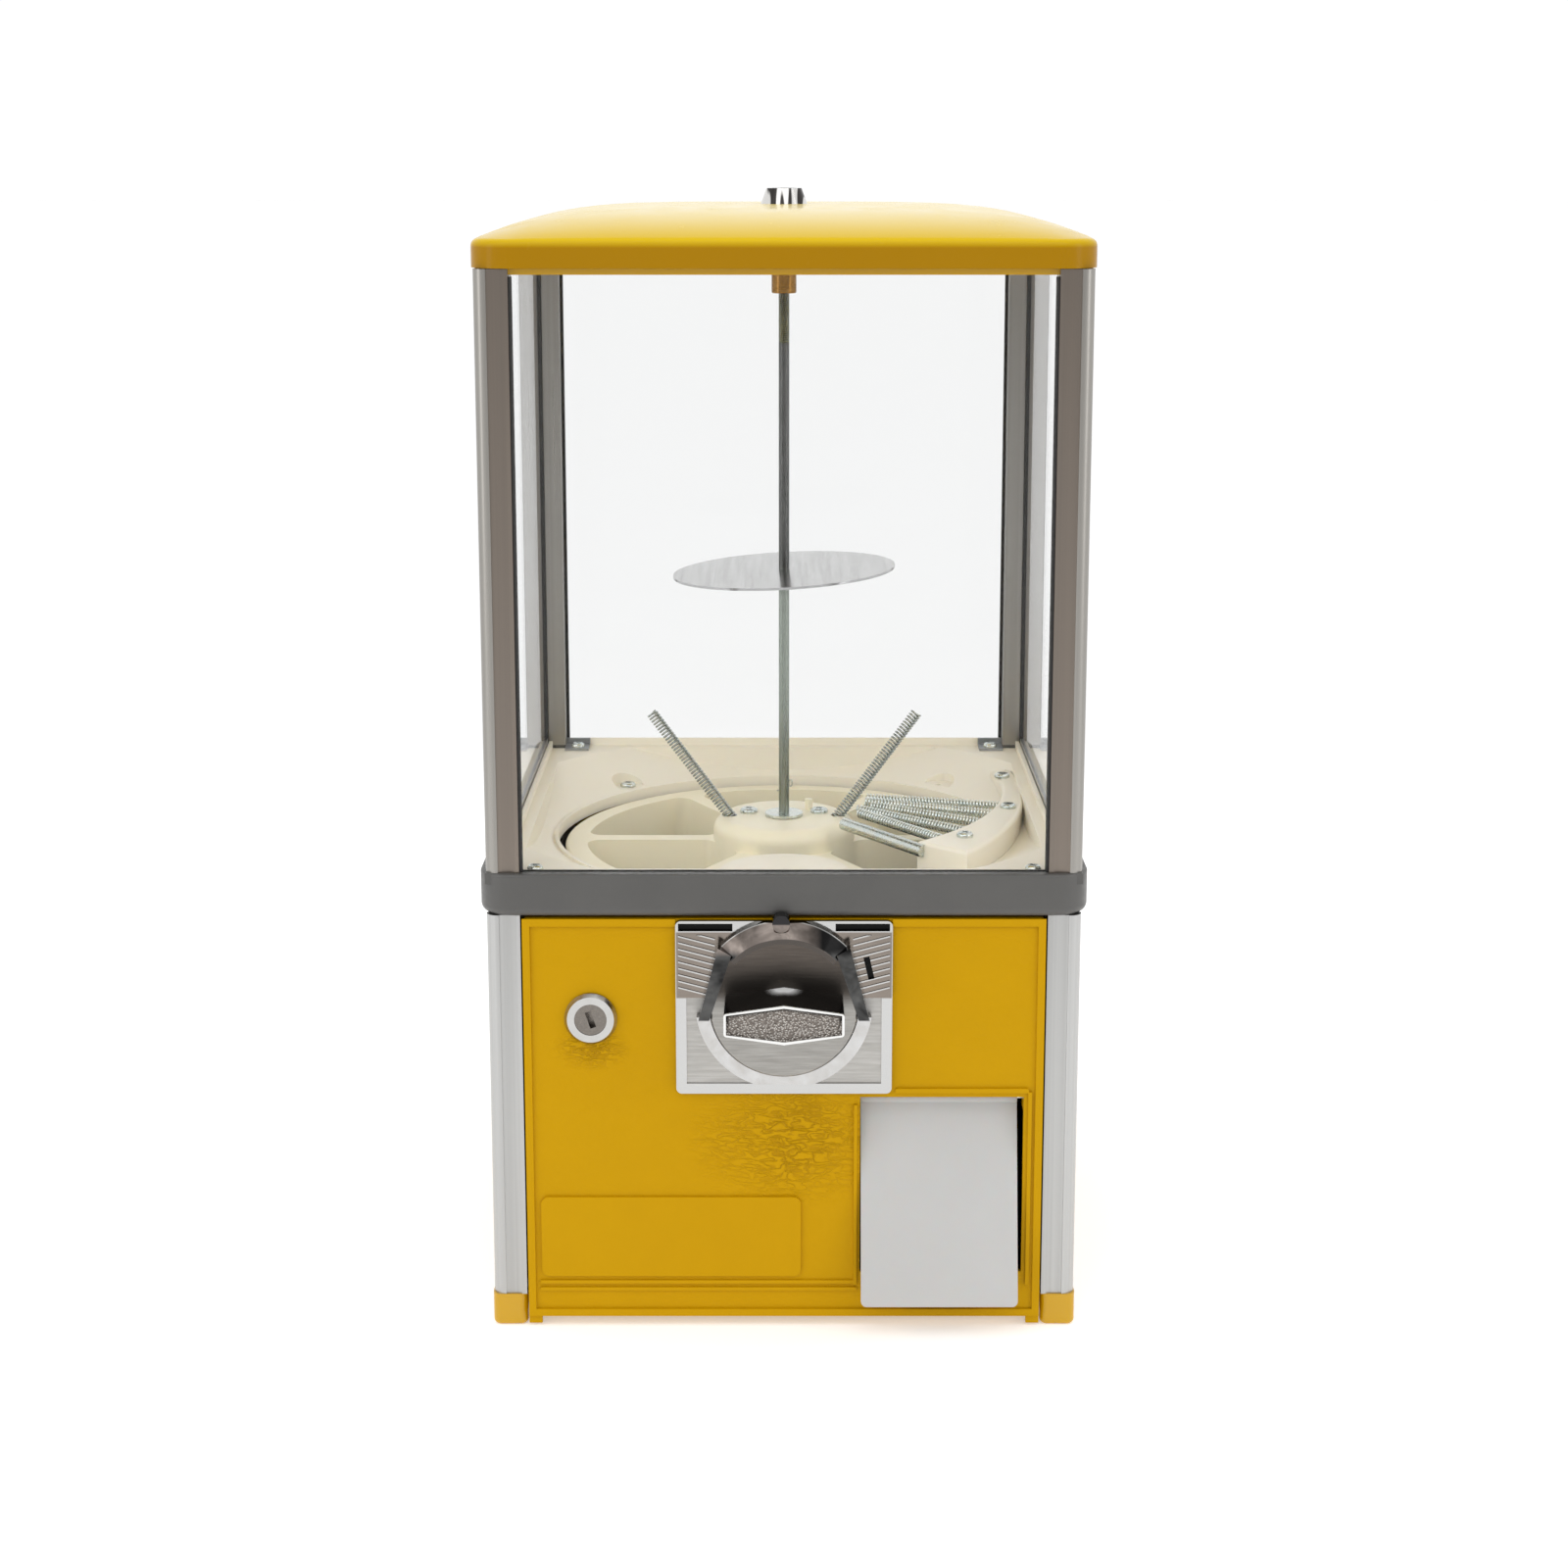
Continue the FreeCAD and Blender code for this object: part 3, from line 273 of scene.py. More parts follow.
def drawn_aluminium(name, color, channel, roughness):
    """Extruded and anodised: fine streaks along Z, and from each face's channel inward a second, darker tone
    that is painted shade in the sunk channel.
    """
    s = Shader(name, color, metallic=1.0, roughness=roughness)
    streaks = s.noise(420.0, 2.0, 0.5, stretch=(1.0, 1.0, 0.004))
    across = [s.math("ABSOLUTE", s.axis(letter)) for letter in "XY"]

    def in_channel(along, out):
        return s.times(s.remap(along, *POST_CHANNEL_EDGE), s.remap(out, *POST_SKIN))

    sunk = s.math("MAXIMUM", in_channel(*across), in_channel(*reversed(across)))
    # Painted shade: the sunk channel takes the darker tone.
    with_channel_shade = s.mix(sunk, color, channel)
    s.color(s.mix(s.remap(streaks, *NOISE_SPAN, 0.0, 0.16), with_channel_shade, (0.10, 0.10, 0.10)))
    s.roughness(streaks, roughness * 0.85, roughness * 1.2)
    s.bump(streaks, 0.00004, 0.3)
    return s.mat


def ivory_plastic(name, light, deep):
    """Slightly translucent ivory moulding, uneven between two tones."""
    s = Shader(name, light, roughness=0.38, Subsurface_Weight=0.15, Subsurface_Scale=0.004)
    s.set("Subsurface Radius", (1.0, 0.7, 0.4))
    s.color(s.mix(s.noise(18.0, 4.0, 0.6), light, deep))
    s.roughness(s.noise(120.0, 4.0), 0.30, 0.48)
    s.bump(s.noise(420.0, 3.0), 0.00016, 0.4)
    return s.mat


def metal(name, color, roughness, grain=500.0, stretch=None):
    """Bare metal with streaks or clouds, a shade darker and rougher in places."""
    s = Shader(name, color, metallic=1.0, roughness=roughness)
    streaks = s.noise(grain, 3.0, 0.6, stretch=stretch)
    s.color(s.mix(streaks, color, tuple(c * 0.84 for c in color)))
    s.roughness(streaks, roughness * 0.7, roughness * 1.35)
    s.bump(streaks, 0.00006, 0.5)
    return s.mat


def banded_chrome():
    """A polished cone with a painted reflection: dark and bright upright stripes in its colour."""
    s = Shader("top_lock_chrome", (0.6, 0.6, 0.58), metallic=1.0, roughness=0.12)
    # Painted reflection: dark and bright upright stripes.
    painted_reflection_bands = s.remap(s.noise(230.0, 0.0, 0.5, stretch=(1.0, 0.35, 0.0)), 0.47, 0.53)
    s.color(s.mix(painted_reflection_bands, (0.045, 0.042, 0.04), (0.68, 0.67, 0.65)))
    s.roughness(s.noise(400.0, 2.0), 0.09, 0.17)
    return s.mat


def zinc(name, blue, warm):
    """Zinc plating with a faint blue and yellow cast."""
    s = Shader(name, blue, metallic=1.0, roughness=0.24)
    tint = s.remap(s.noise(150.0, 3.0), 0.35, 0.65)
    s.color(s.mix(tint, blue, warm))
    s.roughness(s.noise(700.0, 3.0), 0.16, 0.34)
    s.bump(s.noise(1600.0, 2.0), 0.00004, 0.5)
    return s.mat


# Rod: the thread begins, and the paler foot ends.
ROD_THREAD_Z = (0.5175, 0.5185)
ROD_FOOT_Z = (0.392, 0.372)
THREAD_PITCH = 1.0 * MM


def threaded_rod():
    """A dark drawn rod, its dark a painted reflection of dark surroundings, paler towards its foot. Its
    zinc-grey top is cut with a fine thread.
    """
    s = Shader("threaded_rod", (0.12, 0.122, 0.118), metallic=1.0, roughness=0.3)
    z = s.axis("Z")
    threaded = s.remap(z, *ROD_THREAD_Z)
    streaks = s.noise(900.0, 3.0, 0.6, stretch=(1.0, 1.0, 0.02))
    # Painted reflection: the rod's body is painted dark.
    drawn = s.mix(streaks, (0.10, 0.102, 0.10), (0.15, 0.15, 0.145))
    foot = s.mix(streaks, (0.26, 0.29, 0.26), (0.34, 0.37, 0.33))
    drawn = s.mix(s.remap(z, *ROD_FOOT_Z), drawn, foot)
    s.color(s.mix(threaded, drawn, (0.27, 0.29, 0.26)))
    s.roughness(streaks, 0.22, 0.36)
    turns = s.math("SINE", s.times(z, 2 * math.pi / THREAD_PITCH))
    s.bump(s.times(turns, threaded), 0.0005, 0.9)
    return s.mat


# Face plate: the sunk field behind the rim; the foot, head, outer side and floor of the ribbed wings; the two
# long slots, which are sunk deeper. The wings' floor and the slots are painted dark as shade.
PLATE_FIELD_Y = (-0.1597, -0.1593)
WING_FOOT_Z = (0.1856, 0.1862)
WING_HEAD_Z = (0.2222, 0.2216)
WING_SIDE_X = (0.0568, 0.0564)
WING_FLOOR_Y = (-0.1606, -0.1602)
PLATE_SLOT_Z = (0.1868, 0.1874)
PLATE_SLOT_Y = (-0.1597, -0.1590)


def mech_face():
    """A polished rim, a sunk brushed field, and wings painted darker as shade, with bright ribs; the slots are
    painted near-black as shade.
    """
    s = Shader("mechanism_face", (0.74, 0.73, 0.71), metallic=1.0, roughness=0.2)
    x, y, z = s.axis("X"), s.axis("Y"), s.axis("Z")
    sunk = s.remap(y, *PLATE_FIELD_Y)
    wing_shade_mask = s.times(s.remap(z, *WING_FOOT_Z), s.remap(z, *WING_HEAD_Z))
    wing_shade_mask = s.times(wing_shade_mask, s.remap(s.math("ABSOLUTE", x), *WING_SIDE_X))
    wing_shade_mask = s.times(wing_shade_mask, s.remap(y, *WING_FLOOR_Y))
    brushed = s.noise(700.0, 4.0, 0.65, stretch=(0.05, 1.0, 1.0))
    field = s.mix(s.remap(brushed, *NOISE_SPAN), (0.34, 0.33, 0.31), (0.50, 0.49, 0.47))
    color = s.mix(sunk, CHROME, field)
    # Painted shade: the wings' floor is darkened.
    color = s.mix(wing_shade_mask, color, s.mix(brushed, (0.17, 0.145, 0.125), (0.28, 0.245, 0.215)))
    # Painted shade: the deeper slots are painted near-black.
    slots = s.times(s.remap(z, *PLATE_SLOT_Z), s.remap(y, *PLATE_SLOT_Y))
    s.color(s.mix(slots, color, (0.012, 0.012, 0.012)))
    rough = s.math("ADD", s.times(sunk, 0.22), s.remap(brushed, *NOISE_SPAN, 0.10, 0.20))
    s.link(rough, s.shader.inputs["Roughness"])
    s.bump(brushed, 0.00014, s.remap(sunk, 0.0, 1.0, 0.05, 0.6))
    return s.mat


# Knob surround: where the bars begin above the crescent, and the arch above the bars; the arch's dark side, its
# front lip and its bright root on the plate; the boss on top. Above the crescent the colours are painted
# reflection: dark on the bars, arch, lip and boss, a painted highlight on the root.
BARS_Z = (0.1768, 0.1775)
ARCH_Z = (0.2120, 0.2150)
ARCH_DARK_X = (0.012, 0.020)
ARCH_LIP_Y = (-0.1712, -0.1714)
ARCH_ROOT_Y = (-0.1645, -0.1638)
BOSS_Z = (0.2284, 0.2290)


def shroud_metal():
    """Polished surround of the knob: a bright crescent below; above it, bars and arch painted dark as painted
    reflection, with a painted highlight at the arch's root.
    """
    s = Shader("knob_surround", (0.78, 0.78, 0.77), metallic=1.0, roughness=0.14)
    x, y, z = s.axis("X"), s.axis("Y"), s.axis("Z")
    in_arch = s.remap(z, *ARCH_Z)
    clouds = s.remap(s.noise(60.0, 3.0, 0.6, distortion=0.5), 0.35, 0.65)
    crescent = s.mix(clouds, (0.55, 0.55, 0.55), (0.45, 0.44, 0.425))
    # Painted reflection from here on: dark bars and arch, a black side to the arch, a dark lip and boss, a
    # bright root.
    bars = s.mix(clouds, (0.02, 0.02, 0.02), (0.10, 0.10, 0.098))
    arch = s.mix(clouds, (0.10, 0.085, 0.075), (0.24, 0.205, 0.185))
    arch = s.mix(s.remap(x, *ARCH_DARK_X), arch, (0.012, 0.012, 0.012))
    upper_painted_reflection = s.mix(in_arch, bars, arch)
    upper_painted_reflection = s.mix(s.remap(y, *ARCH_LIP_Y), upper_painted_reflection, (0.085, 0.075, 0.068))
    upper_painted_reflection = s.mix(s.times(s.remap(y, *ARCH_ROOT_Y), in_arch), upper_painted_reflection, (0.50, 0.50, 0.49))
    upper_painted_reflection = s.mix(s.times(s.remap(z, *BOSS_Z), 0.96), upper_painted_reflection, (0.03, 0.03, 0.032))
    s.color(s.mix(s.remap(z, *BARS_Z), crescent, upper_painted_reflection))
    s.roughness(s.noise(300.0, 3.0), 0.09, 0.18)
    s.bump(s.noise(90.0, 2.0), 0.0003, 0.12)
    return s.mat


# Handle: the grip's rim, its sunk face, the flanks behind it and the disc behind them.
GRIP_RIM_Y = (-0.1968, -0.1974)
GRIP_FACE_Y = (-0.1960, -0.1964)
GRIP_FLANK_Y = (-0.1966, -0.1960)
DISC_Y = (-0.1690, -0.1684)
# Painted shade on the disc: over its upper part, and darkest in a band just above the grip.
DISC_UPPER_SHADE_Z = (0.186, 0.192)
DISC_GRIP_SHADE_TOP_Z = (0.224, 0.196)
DISC_GRIP_SHADE_FOOT_Z = (0.182, 0.194)
FACE_SHADE_Z = (0.1825, 0.1865)
# The six-sided sunk face: its middle, half width, half height in the middle, and the slope of its edges.
FACE_MID_Z = 0.184
FACE_HALF_WIDTH = 0.02975
FACE_HALF_HEIGHT = 0.0091
FACE_SLOPE = 0.131
FACE_SHADE_WIDTH = (0.0022, 0.0008)
# The highlight on the upper flank: half its width, half its depth, and where it lies.
GLINT_HALF_WIDTH = 0.0095
GLINT_HALF_DEPTH = 0.013
GLINT_Y = -0.168


def facing_up(s):
    """How far the surface faces upward, from -1 to 1."""
    split = s.node("ShaderNodeSeparateXYZ")
    s.link(s.node("ShaderNodeTexCoord").outputs["Normal"], split.inputs[0])
    return split.outputs["Z"]


def face_shade(s, z, across):
    """A thin dark line just inside the upper edges of the grip's six-sided sunk face."""
    above = s.math("ABSOLUTE", s.minus(z, FACE_MID_Z))
    to_side = s.minus(FACE_HALF_WIDTH, across)
    to_top = s.minus(s.minus(FACE_HALF_HEIGHT, above), s.times(across, FACE_SLOPE))
    outline = s.remap(s.math("MINIMUM", to_side, to_top), *FACE_SHADE_WIDTH)
    return s.times(outline, s.remap(z, *FACE_SHADE_Z))


def flank_glint(s, y, across):
    """A soft bright oval in the middle of the upper flank."""
    aside = s.math("DIVIDE", across, GLINT_HALF_WIDTH)
    ahead = s.math("DIVIDE", s.minus(GLINT_Y, y), GLINT_HALF_DEPTH)
    return s.remap(s.distance(aside, ahead), 1.1, 0.5)


def handle_metal():
    """A casting with a stippled sunk face in a polished rim, dark upper flanks and a brushed disc. The flanks'
    dark is a painted reflection with a painted highlight on it; the disc carries painted shade above and next
    to the grip.
    """
    s = Shader("handle_casting", (0.72, 0.71, 0.69), metallic=1.0, roughness=0.16)
    y, z = s.axis("Y"), s.axis("Z")
    across = s.math("ABSOLUTE", s.axis("X"))
    rim = s.remap(y, *GRIP_RIM_Y)
    face = s.minus(s.remap(y, *GRIP_FACE_Y), rim)
    disc = s.remap(y, *DISC_Y)
    flank = s.times(s.remap(facing_up(s), 0.25, 0.6), s.remap(y, *GRIP_FLANK_Y))
    brushed = s.noise(900.0, 4.0, 0.65, stretch=(0.06, 1.0, 1.0))
    streaks = s.remap(brushed, *NOISE_SPAN)
    # Painted shade on the disc: darkest just above the grip, and darker over its upper part.
    shade_by_grip = s.times(s.times(disc, s.remap(z, *DISC_GRIP_SHADE_TOP_Z)), s.remap(z, *DISC_GRIP_SHADE_FOOT_Z))
    plain = s.mix(streaks, (0.26, 0.252, 0.235), (0.36, 0.35, 0.33))
    disc_painted_shade = s.mix(streaks, (0.105, 0.088, 0.076), (0.155, 0.132, 0.115))
    plain = s.mix(s.times(disc, s.remap(z, *DISC_UPPER_SHADE_Z)), plain, disc_painted_shade)
    plain = s.mix(rim, plain, (0.72, 0.72, 0.71))
    plain = s.mix(s.times(shade_by_grip, 0.9), plain, (0.05, 0.045, 0.04))
    # Painted reflection: the upper flanks are painted dark.
    plain = s.mix(s.times(flank, 0.9), plain, (0.05, 0.05, 0.052))
    glint = s.times(flank_glint(s, y, across), flank)
    plain = s.mix(glint, plain, (0.85, 0.85, 0.85))
    s.link(s.minus(1.0, glint), s.shader.inputs["Metallic"])
    stipple = s.cells(980.0, 0.2)
    speckled = s.mix(s.remap(stipple, 0.15, 0.55), (0.56, 0.535, 0.50), (0.17, 0.15, 0.135))
    speckled = s.mix(s.times(face_shade(s, z, across), 0.9), speckled, (0.03, 0.028, 0.026))
    s.color(s.mix(face, plain, speckled))
    rough = s.math("ADD", s.math("ADD", 0.12, s.times(face, 0.22)), s.times(disc, 0.16))
    s.link(rough, s.shader.inputs["Roughness"])
    s.bump(s.math("ADD", s.times(stipple, face), s.times(brushed, 0.05)), 0.0010, 0.8)
    return s.mat


def frosted():
    """Milky flap plastic with a satin skin."""
    s = Shader("frosted_flap_plastic", (0.54, 0.53, 0.515), roughness=0.42, Subsurface_Weight=0.2,
               Subsurface_Scale=0.004)
    s.color(s.mix(s.noise(22.0, 3.0), (0.500, 0.498, 0.490), (0.465, 0.463, 0.455)))
    s.roughness(s.noise(380.0, 3.0), 0.34, 0.5)
    s.bump(s.noise(900.0, 2.0), 0.00012, 0.4)
    return s.mat


def clear_pane():
    """Clear acrylic. Rays from the lamps go straight through, so that the chamber stays bright."""
    s = Shader("clear_acrylic", (0.948, 0.951, 0.951), roughness=0.0, Transmission_Weight=1.0, IOR=1.12)
    s.roughness(s.noise(30.0, 3.0), 0.0, 0.012)
    clear = s.node("ShaderNodeBsdfTransparent")
    clear.inputs["Color"].default_value = (0.98, 0.985, 0.985, 1.0)
    path = s.node("ShaderNodeLightPath")
    blend = s.node("ShaderNodeMixShader")
    s.link(path.outputs["Is Shadow Ray"], blend.inputs["Fac"])
    s.link(s.shader.outputs[0], blend.inputs[1])
    s.link(clear.outputs[0], blend.inputs[2])
    s.link(blend.outputs[0], s.tree.nodes["Material Output"].inputs["Surface"])
    return s.mat


def rubber():
    """Matt black rubber."""
    s = Shader("black_seal", (0.018, 0.018, 0.018), roughness=0.6)
    s.color(s.mix(s.noise(90.0, 3.0), (0.02, 0.02, 0.02), (0.032, 0.031, 0.03)))
    s.roughness(s.noise(500.0, 3.0), 0.5, 0.75)
    s.bump(s.noise(1400.0, 2.0), 0.0001, 0.4)
    return s.mat


MATERIALS = {
    "yellow_metal": sheet_paint(),
    "yellow_plastic": gloss_plastic("yellow_cap_plastic", (0.56, 0.315, 0.0006), (0.52, 0.29, 0.0006)),
    "dark_plastic": dark_plastic(),
    # For both posts the second colour is the painted shade of the channels.
    "bronze_aluminium": drawn_aluminium(
        "bronze_aluminium", (0.36, 0.345, 0.32), (0.235, 0.20, 0.17), 0.32),
    "satin_aluminium": drawn_aluminium(
        "satin_aluminium", (0.50, 0.50, 0.492), (0.47, 0.47, 0.462), 0.36),
    "clear_pane": clear_pane(),
    "ivory_plastic": ivory_plastic("ivory_tray", (0.95, 0.895, 0.775), (0.91, 0.845, 0.71)),
    "zinc_steel": zinc("zinc_plate", (0.60, 0.66, 0.65), (0.70, 0.71, 0.65)),
    "galvanised_sheet": metal("galvanised_sheet", (0.42, 0.43, 0.44), 0.42, grain=60.0),
    "chrome_casting": metal("polished_casting", (0.52, 0.515, 0.50), 0.12, grain=160.0),
    "satin_steel": metal("satin_steel", (0.21, 0.19, 0.17), 0.28),
    "polished_steel": metal(
        "polished_disc", (0.54, 0.54, 0.54), 0.2, grain=260.0, stretch=(1.0, 0.04, 1.0)),
    "brass": metal("turned_brass", (0.32, 0.17, 0.05), 0.22, grain=900.0, stretch=(0.05, 0.05, 1.0)),
    "rubber": rubber(),
    "gear_plastic": gloss_plastic("gear_nylon", (0.74, 0.74, 0.70), (0.68, 0.68, 0.64), 0.35),
    "frosted_plastic": frosted(),
}
NODE_MATERIALS = {
    "front_panel": hammered_paint(),
    "mech_plate": mech_face(),
    "turn_handle": handle_metal(),
    "coin_shroud": shroud_metal(),
    "centre_rod": threaded_rod(),
    "lid_shell": lid_plastic(),
    "capsule_wheel": ivory_plastic("ivory_wheel", (0.95, 0.885, 0.70), (0.91, 0.835, 0.63)),
    # The chute is painted near-black: painted shade inside the duct.
    "capsule_chute": metal("shadowed_duct", (0.045, 0.045, 0.045), 0.55),
    "lid_lock_ring": banded_chrome(),
    "agitator_springs": zinc("agitator_zinc", (0.36, 0.41, 0.40), (0.46, 0.47, 0.42)),
    "guard_springs": zinc("guard_zinc", (0.78, 0.85, 0.84), (0.88, 0.89, 0.83)),
}


def dress_cad_nodes():
    """Gives each CAD node its own material, or else the one of its material slot."""
    slot_of = {part["node"]: part["material_slot"] for part in frame["record"]["subparts"]}
    for name, obj in NODES.items():
        chosen = NODE_MATERIALS.get(name) or MATERIALS[slot_of[name]]
        if not obj.material_slots:
            obj.data.materials.append(chosen)
        for place in obj.material_slots:
            place.material = chosen


# ---------------------------------------------------------------- mesh helpers

WIRE_SIDES = 6
WELD_DISTANCE = 0.001 * MM
SEAL_WIDTH = 1.5 * MM
SEAL_DEPTH = 2.4 * MM
SEAL_BEVEL = 0.3 * MM
STRIP_HEIGHT = 5 * MM


def finish_mesh(name, mesh, slot, body, smooth=True, material=None):
    """Links a mesh as a piece, with its body and its material: the one given, or else the one of its material
    slot.
    """
    obj = bpy.data.objects.new(name, mesh)
    bpy.context.scene.collection.objects.link(obj)
    mesh.materials.append(material or MATERIALS[slot])
    for polygon in mesh.polygons:
        polygon.use_smooth = smooth
    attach(obj, body)
    return obj


def tube_mesh(name, paths, radius):
    """Round wire along each list of points, its ends closed."""
    bm = bmesh.new()
    for path in paths:
        points = [Vector(p) for p in path]
        normal = None
        rings = []
        for index, point in enumerate(points):
            ahead = points[min(index + 1, len(points) - 1)]
            behind = points[max(index - 1, 0)]
            tangent = (ahead - behind).normalized()
            if normal is None:
                normal = tangent.orthogonal().normalized()
            normal = (normal - tangent * normal.dot(tangent)).normalized()
            side = tangent.cross(normal)
            ring = []
            for k in range(WIRE_SIDES):
                angle = 2 * math.pi * k / WIRE_SIDES
                outward = normal * math.cos(angle) + side * math.sin(angle)
                ring.append(bm.verts.new(point + outward * radius))
            rings.append(ring)
        for first, second in zip(rings, rings[1:]):
            for k in range(WIRE_SIDES):
                n = (k + 1) % WIRE_SIDES
                bm.faces.new((first[k], first[n], second[n], second[k]))
        bm.faces.new(list(reversed(rings[0])))
        bm.faces.new(rings[-1])
    mesh = bpy.data.meshes.new(name)
    bmesh.ops.recalc_face_normals(bm, faces=bm.faces)
    bm.to_mesh(mesh)
    bm.free()
    return mesh


def box_piece(name, boxes, slot):
    """One cabinet piece of bevelled boxes, each given by its lowest and highest corner."""
    bm = bmesh.new()
    for low, high in boxes:
        size = Vector(high) - Vector(low)
        centre = (Vector(high) + Vector(low)) / 2
        matrix = Matrix.Translation(centre) @ Matrix.Diagonal((*size, 1.0))
        made = bmesh.ops.create_cube(bm, size=1.0, matrix=matrix)
        edges = list(dict.fromkeys(e for v in made["verts"] for e in v.link_edges))
        bmesh.ops.bevel(bm, geom=edges, offset=SEAL_BEVEL, segments=2, affect="EDGES", profile=0.6)
    mesh = bpy.data.meshes.new(name)
    bm.to_mesh(mesh)
    bm.free()
    finish_mesh(name, mesh, slot, "cabinet", smooth=False)


def islands(obj):
    """The separate solids of a CAD node, as arrays of their points, in the mesh's own order."""
    bm = bmesh.new()
    bm.from_mesh(obj.data)
    bmesh.ops.remove_doubles(bm, verts=bm.verts, dist=WELD_DISTANCE)
    seen = set()
    groups = []
    for seed in bm.verts:
        if seed in seen:
            continue
        seen.add(seed)
        stack = [seed]
        group = []
        while stack:
            vertex = stack.pop()
            group.append(vertex.co.copy())
            for edge in vertex.link_edges:
                other = edge.other_vert(vertex)
                if other not in seen:
                    seen.add(other)
                    stack.append(other)
        groups.append(np.array(group))
    bm.free()
    return groups


def rod_facts(points):
    """The two ends of a straight rod's axis, lower end first, and its radius."""
    middle = points.mean(axis=0)
    direction = np.linalg.svd(points - middle)[2][0]
    along = (points - middle) @ direction
    radius = np.median(np.linalg.norm(points - middle - np.outer(along, direction), axis=1))
    centre = middle + direction * (along.max() + along.min()) / 2
    half = (along.max() - along.min()) / 2
    ends = sorted((centre - direction * half, centre + direction * half), key=lambda p: p[2])
    return Vector(ends[0]), Vector(ends[1]), float(radius)


# ---------------------------------------------------------------- springs and wire

WIRE_R = 0.62 * MM
PITCH = 1.9 * MM
STEPS_PER_TURN = 14
CLIP_WIRE_R = 0.45 * MM
CLIP_ABOVE_WASHER = 16 * MM
CLIP_EYE_STEPS = 20
CLIP_EYE_START = -120
CLIP_EYE_SWEEP = 330


def coil_points(start, end, radius):
    """A close-wound helix from start to end."""
    axis = (end - start).normalized()
    u = axis.orthogonal().normalized()
    v = axis.cross(u)
    length = (end - start).length
    turns = length / PITCH
    steps = int(turns * STEPS_PER_TURN)
    points = []
    for i in range(steps + 1):
        angle = 2 * math.pi * turns * i / steps
        ring = (u * math.cos(angle) + v * math.sin(angle)) * (radius - WIRE_R)
        points.append(start + axis * (length * i / steps) + ring)
    return points


def wire_springs(node, name, body):
    """Real coils in place of the plain rods of a CAD node."""
    paths = []
    for points in islands(NODES[node]):
        start, end, radius = rod_facts(points)
        shrink = (end - start).normalized() * WIRE_R
        paths.append(coil_points(start + shrink, end - shrink, radius))
    mesh = tube_mesh(name, paths, WIRE_R)
    piece = finish_mesh(name, mesh, "zinc_steel", body, material=NODE_MATERIALS[node])
    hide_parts(node)


def cotter_wire():
    """A small wire clip on the rod, above its washer: an oval eye at one side and a tail through the rod."""
    washer_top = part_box("rod_washer")[1][2]
    rod_low, rod_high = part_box("centre_rod")
    reach = (rod_high[0] - rod_low[0]) / 2
    height = washer_top + CLIP_ABOVE_WASHER
    eye = Vector((reach + 0.9 * MM, -0.5 * MM, height + 1.5 * MM))
    points = []
    for i in range(CLIP_EYE_STEPS + 1):
        angle = math.radians(CLIP_EYE_START + CLIP_EYE_SWEEP * i / CLIP_EYE_STEPS)
        points.append(eye + Vector((math.cos(angle) * 1.0 * MM, 0, math.sin(angle) * 1.9 * MM)))
    points.append(Vector((reach * 0.4, -0.5 * MM, height - 2.0 * MM)))
    points.append(Vector((-reach - 1.0 * MM, 0, height - 3.2 * MM)))
    mesh = tube_mesh("rod_clip_wire", [points], CLIP_WIRE_R)
    finish_mesh("rod_clip_wire", mesh, "zinc_steel", "cabinet")


# ---------------------------------------------------------------- seals and strips

def pane_seals():
    """Black seals down both edges of each pane."""
    proud = SEAL_DEPTH / 2
    boxes = []
    for name in ("window_front", "window_back"):
        low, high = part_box(name)
        for x0, x1 in ((low[0], low[0] + SEAL_WIDTH), (high[0] - SEAL_WIDTH, high[0])):
            boxes.append(((x0, low[1] - proud, low[2]), (x1, high[1] + proud, high[2] - MM)))
    for name in ("window_left", "window_right"):
        low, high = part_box(name)
        for y0, y1 in ((low[1], low[1] + SEAL_WIDTH), (high[1] - SEAL_WIDTH, high[1])):
            boxes.append(((low[0] - proud, y0, low[2]), (high[0] + proud, y1, high[2] - MM)))
    box_piece("pane_seals", boxes, "rubber")


def pane_strips():
    """A bright strip along the foot of each side pane, between its seals."""
    inset = 2 * SEAL_WIDTH
    boxes = []
    for name in ("window_left", "window_right"):
        low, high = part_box(name)
        strip_low = (low[0] - MM, low[1] + inset, low[2])
        strip_high = (high[0] + MM, high[1] - inset, low[2] + STRIP_HEIGHT)
        boxes.append((strip_low, strip_high))
    box_piece("pane_strips", boxes, "satin_aluminium")


# ---------------------------------------------------------------- studio

WORLD_STRENGTH = 1.04
DARK_CONE = (0.12, 0.11, 0.10, 1.0)
DARK_CONE_Y = (-0.97, -0.70)
FLOOR_SIZE = 60.0
FLOOR_GLOW = 0.35
GLOW_FADE = (0.7, 1.3)
SUN_ENERGY = 0.6
SUN_ANGLE = 60
SUN_TURN = (48, 0, -8)
STRIP_SIZE = (0.5, 1.6)
STRIP_ENERGY = 3.5
STRIP_AIM = (0, 0, 0.35)


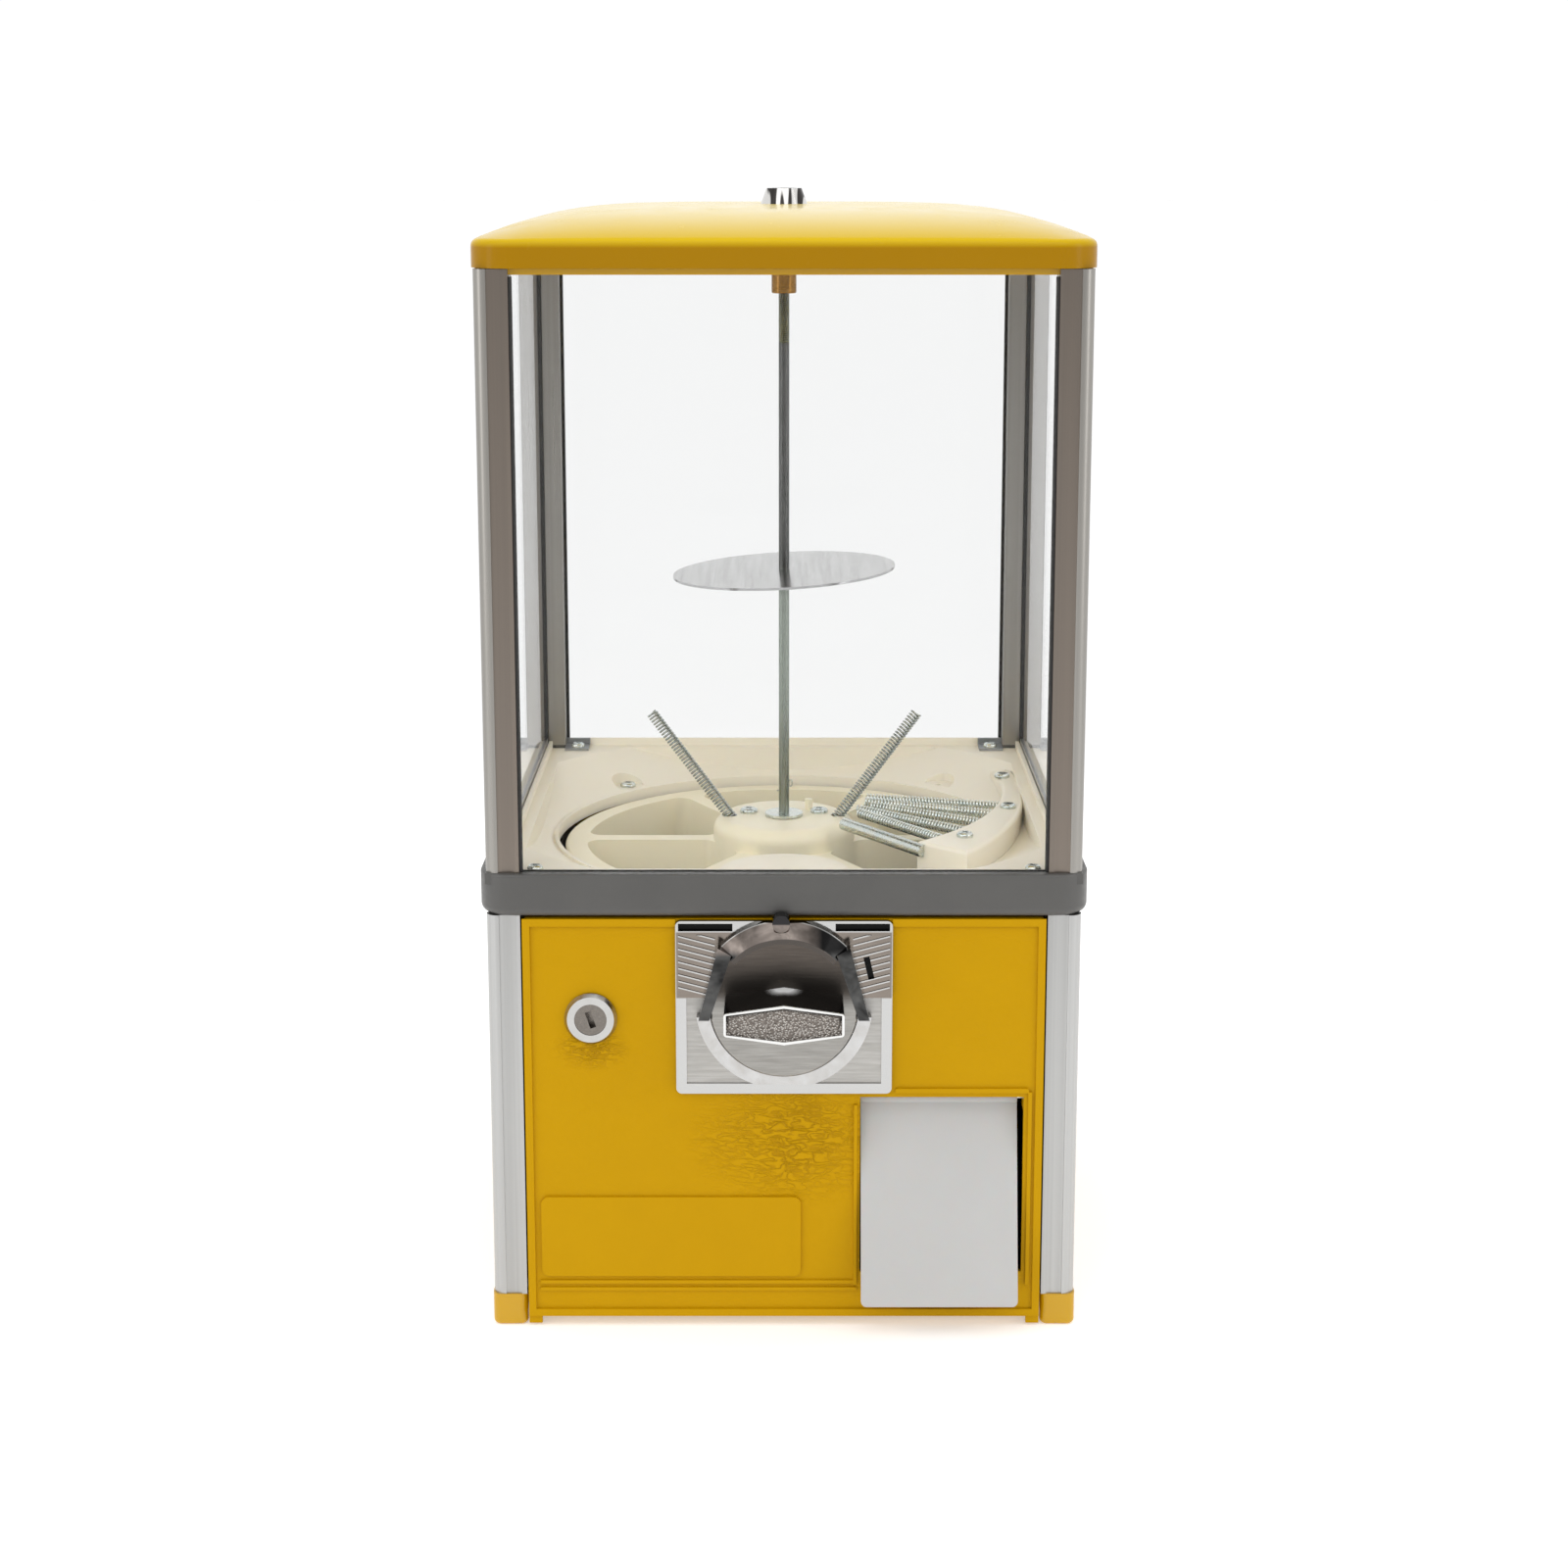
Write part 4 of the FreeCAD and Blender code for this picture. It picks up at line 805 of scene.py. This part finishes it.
def surround():
    """An even white world, dimmer in a cone at the front, which gives the metal something to mirror."""
    world = bpy.data.worlds.new("studio")
    bpy.context.scene.world = world
    world.use_nodes = True
    tree = world.node_tree
    background = tree.nodes["Background"]
    coords = tree.nodes.new("ShaderNodeTexCoord")
    split = tree.nodes.new("ShaderNodeSeparateXYZ")
    tree.links.new(coords.outputs["Generated"], split.inputs[0])
    ramp = tree.nodes.new("ShaderNodeMapRange")
    ramp.inputs["From Min"].default_value, ramp.inputs["From Max"].default_value = DARK_CONE_Y
    tree.links.new(split.outputs["Y"], ramp.inputs["Value"])
    tint = tree.nodes.new("ShaderNodeMix")
    tint.data_type = "RGBA"
    tint.inputs[6].default_value = DARK_CONE
    tint.inputs[7].default_value = (1.0, 1.0, 1.0, 1.0)
    tree.links.new(ramp.outputs["Result"], tint.inputs[0])
    tree.links.new(tint.outputs[2], background.inputs["Color"])
    background.inputs["Strength"].default_value = WORLD_STRENGTH


def pale_floor():
    """A white floor that glows a little round the machine, so that its shadow stays faint."""
    bpy.ops.mesh.primitive_plane_add(size=FLOOR_SIZE, location=(0, 0, 0))
    floor = bpy.context.object
    floor.name = "studio_floor"
    s = Shader("pale_floor", (0.9, 0.9, 0.9), roughness=0.8)
    s.color(s.mix(s.noise(3.0, 3.0), (0.90, 0.90, 0.90), (0.89, 0.89, 0.89)))
    s.set("Emission Color", (1.0, 1.0, 1.0, 1.0))
    away = s.distance(s.axis("X"), s.axis("Y"))
    s.link(s.remap(away, *GLOW_FADE, FLOOR_GLOW, 0.0), s.shader.inputs["Emission Strength"])
    floor.data.materials.append(s.mat)


def overhead_sun():
    """A very wide sun, above and in front."""
    sun = bpy.data.lights.new("overhead", "SUN")
    sun.energy = SUN_ENERGY
    sun.angle = math.radians(SUN_ANGLE)
    obj = bpy.data.objects.new("overhead", sun)
    bpy.context.scene.collection.objects.link(obj)
    obj.rotation_euler = [math.radians(turn) for turn in SUN_TURN]


def strip_light(name, place):
    """A tall soft light aimed at the machine."""
    light = bpy.data.lights.new(name, "AREA")
    light.shape = "RECTANGLE"
    light.size, light.size_y = STRIP_SIZE
    light.energy = STRIP_ENERGY
    obj = bpy.data.objects.new(name, light)
    bpy.context.scene.collection.objects.link(obj)
    obj.location = place
    obj.rotation_euler = (Vector(STRIP_AIM) - Vector(place)).to_track_quat("-Z", "Y").to_euler()


EYE = (0.0, -1.46, 0.626)
SENSOR_WIDTH = 36.0
LENS = 59.3
SHIFT_Y = -0.095
# How far the picture's centre lies below the level line, as a part of the picture's width.
CENTRE_BELOW_LEVEL = 0.4107


def camera():
    """In front, level with the lid, tilted down by what the lens shift leaves of the way to the centre."""
    cam = bpy.data.cameras.new("photo_view")
    obj = bpy.data.objects.new("photo_view", cam)
    bpy.context.scene.collection.objects.link(obj)
    cam.sensor_width = SENSOR_WIDTH
    cam.lens = LENS
    cam.shift_y = SHIFT_Y
    to_centre = math.atan(CENTRE_BELOW_LEVEL * SENSOR_WIDTH / LENS)
    by_shift = math.atan(-SHIFT_Y * SENSOR_WIDTH / LENS)
    obj.location = EYE
    obj.rotation_euler = (math.radians(90) - (to_centre - by_shift), 0, 0)
    bpy.context.scene.camera = obj


bpy.context.scene.view_settings.view_transform = "Standard"
dress_cad_nodes()
wire_springs("agitator_springs", "agitator_coils", "wheel")
wire_springs("guard_springs", "guard_coils", "cabinet")
cotter_wire()
pane_seals()
pane_strips()
surround()
pale_floor()
overhead_sun()
strip_light("left_strip", (-1.6, -1.0, 0.9))
strip_light("right_strip", (1.6, -1.0, 0.9))
camera()
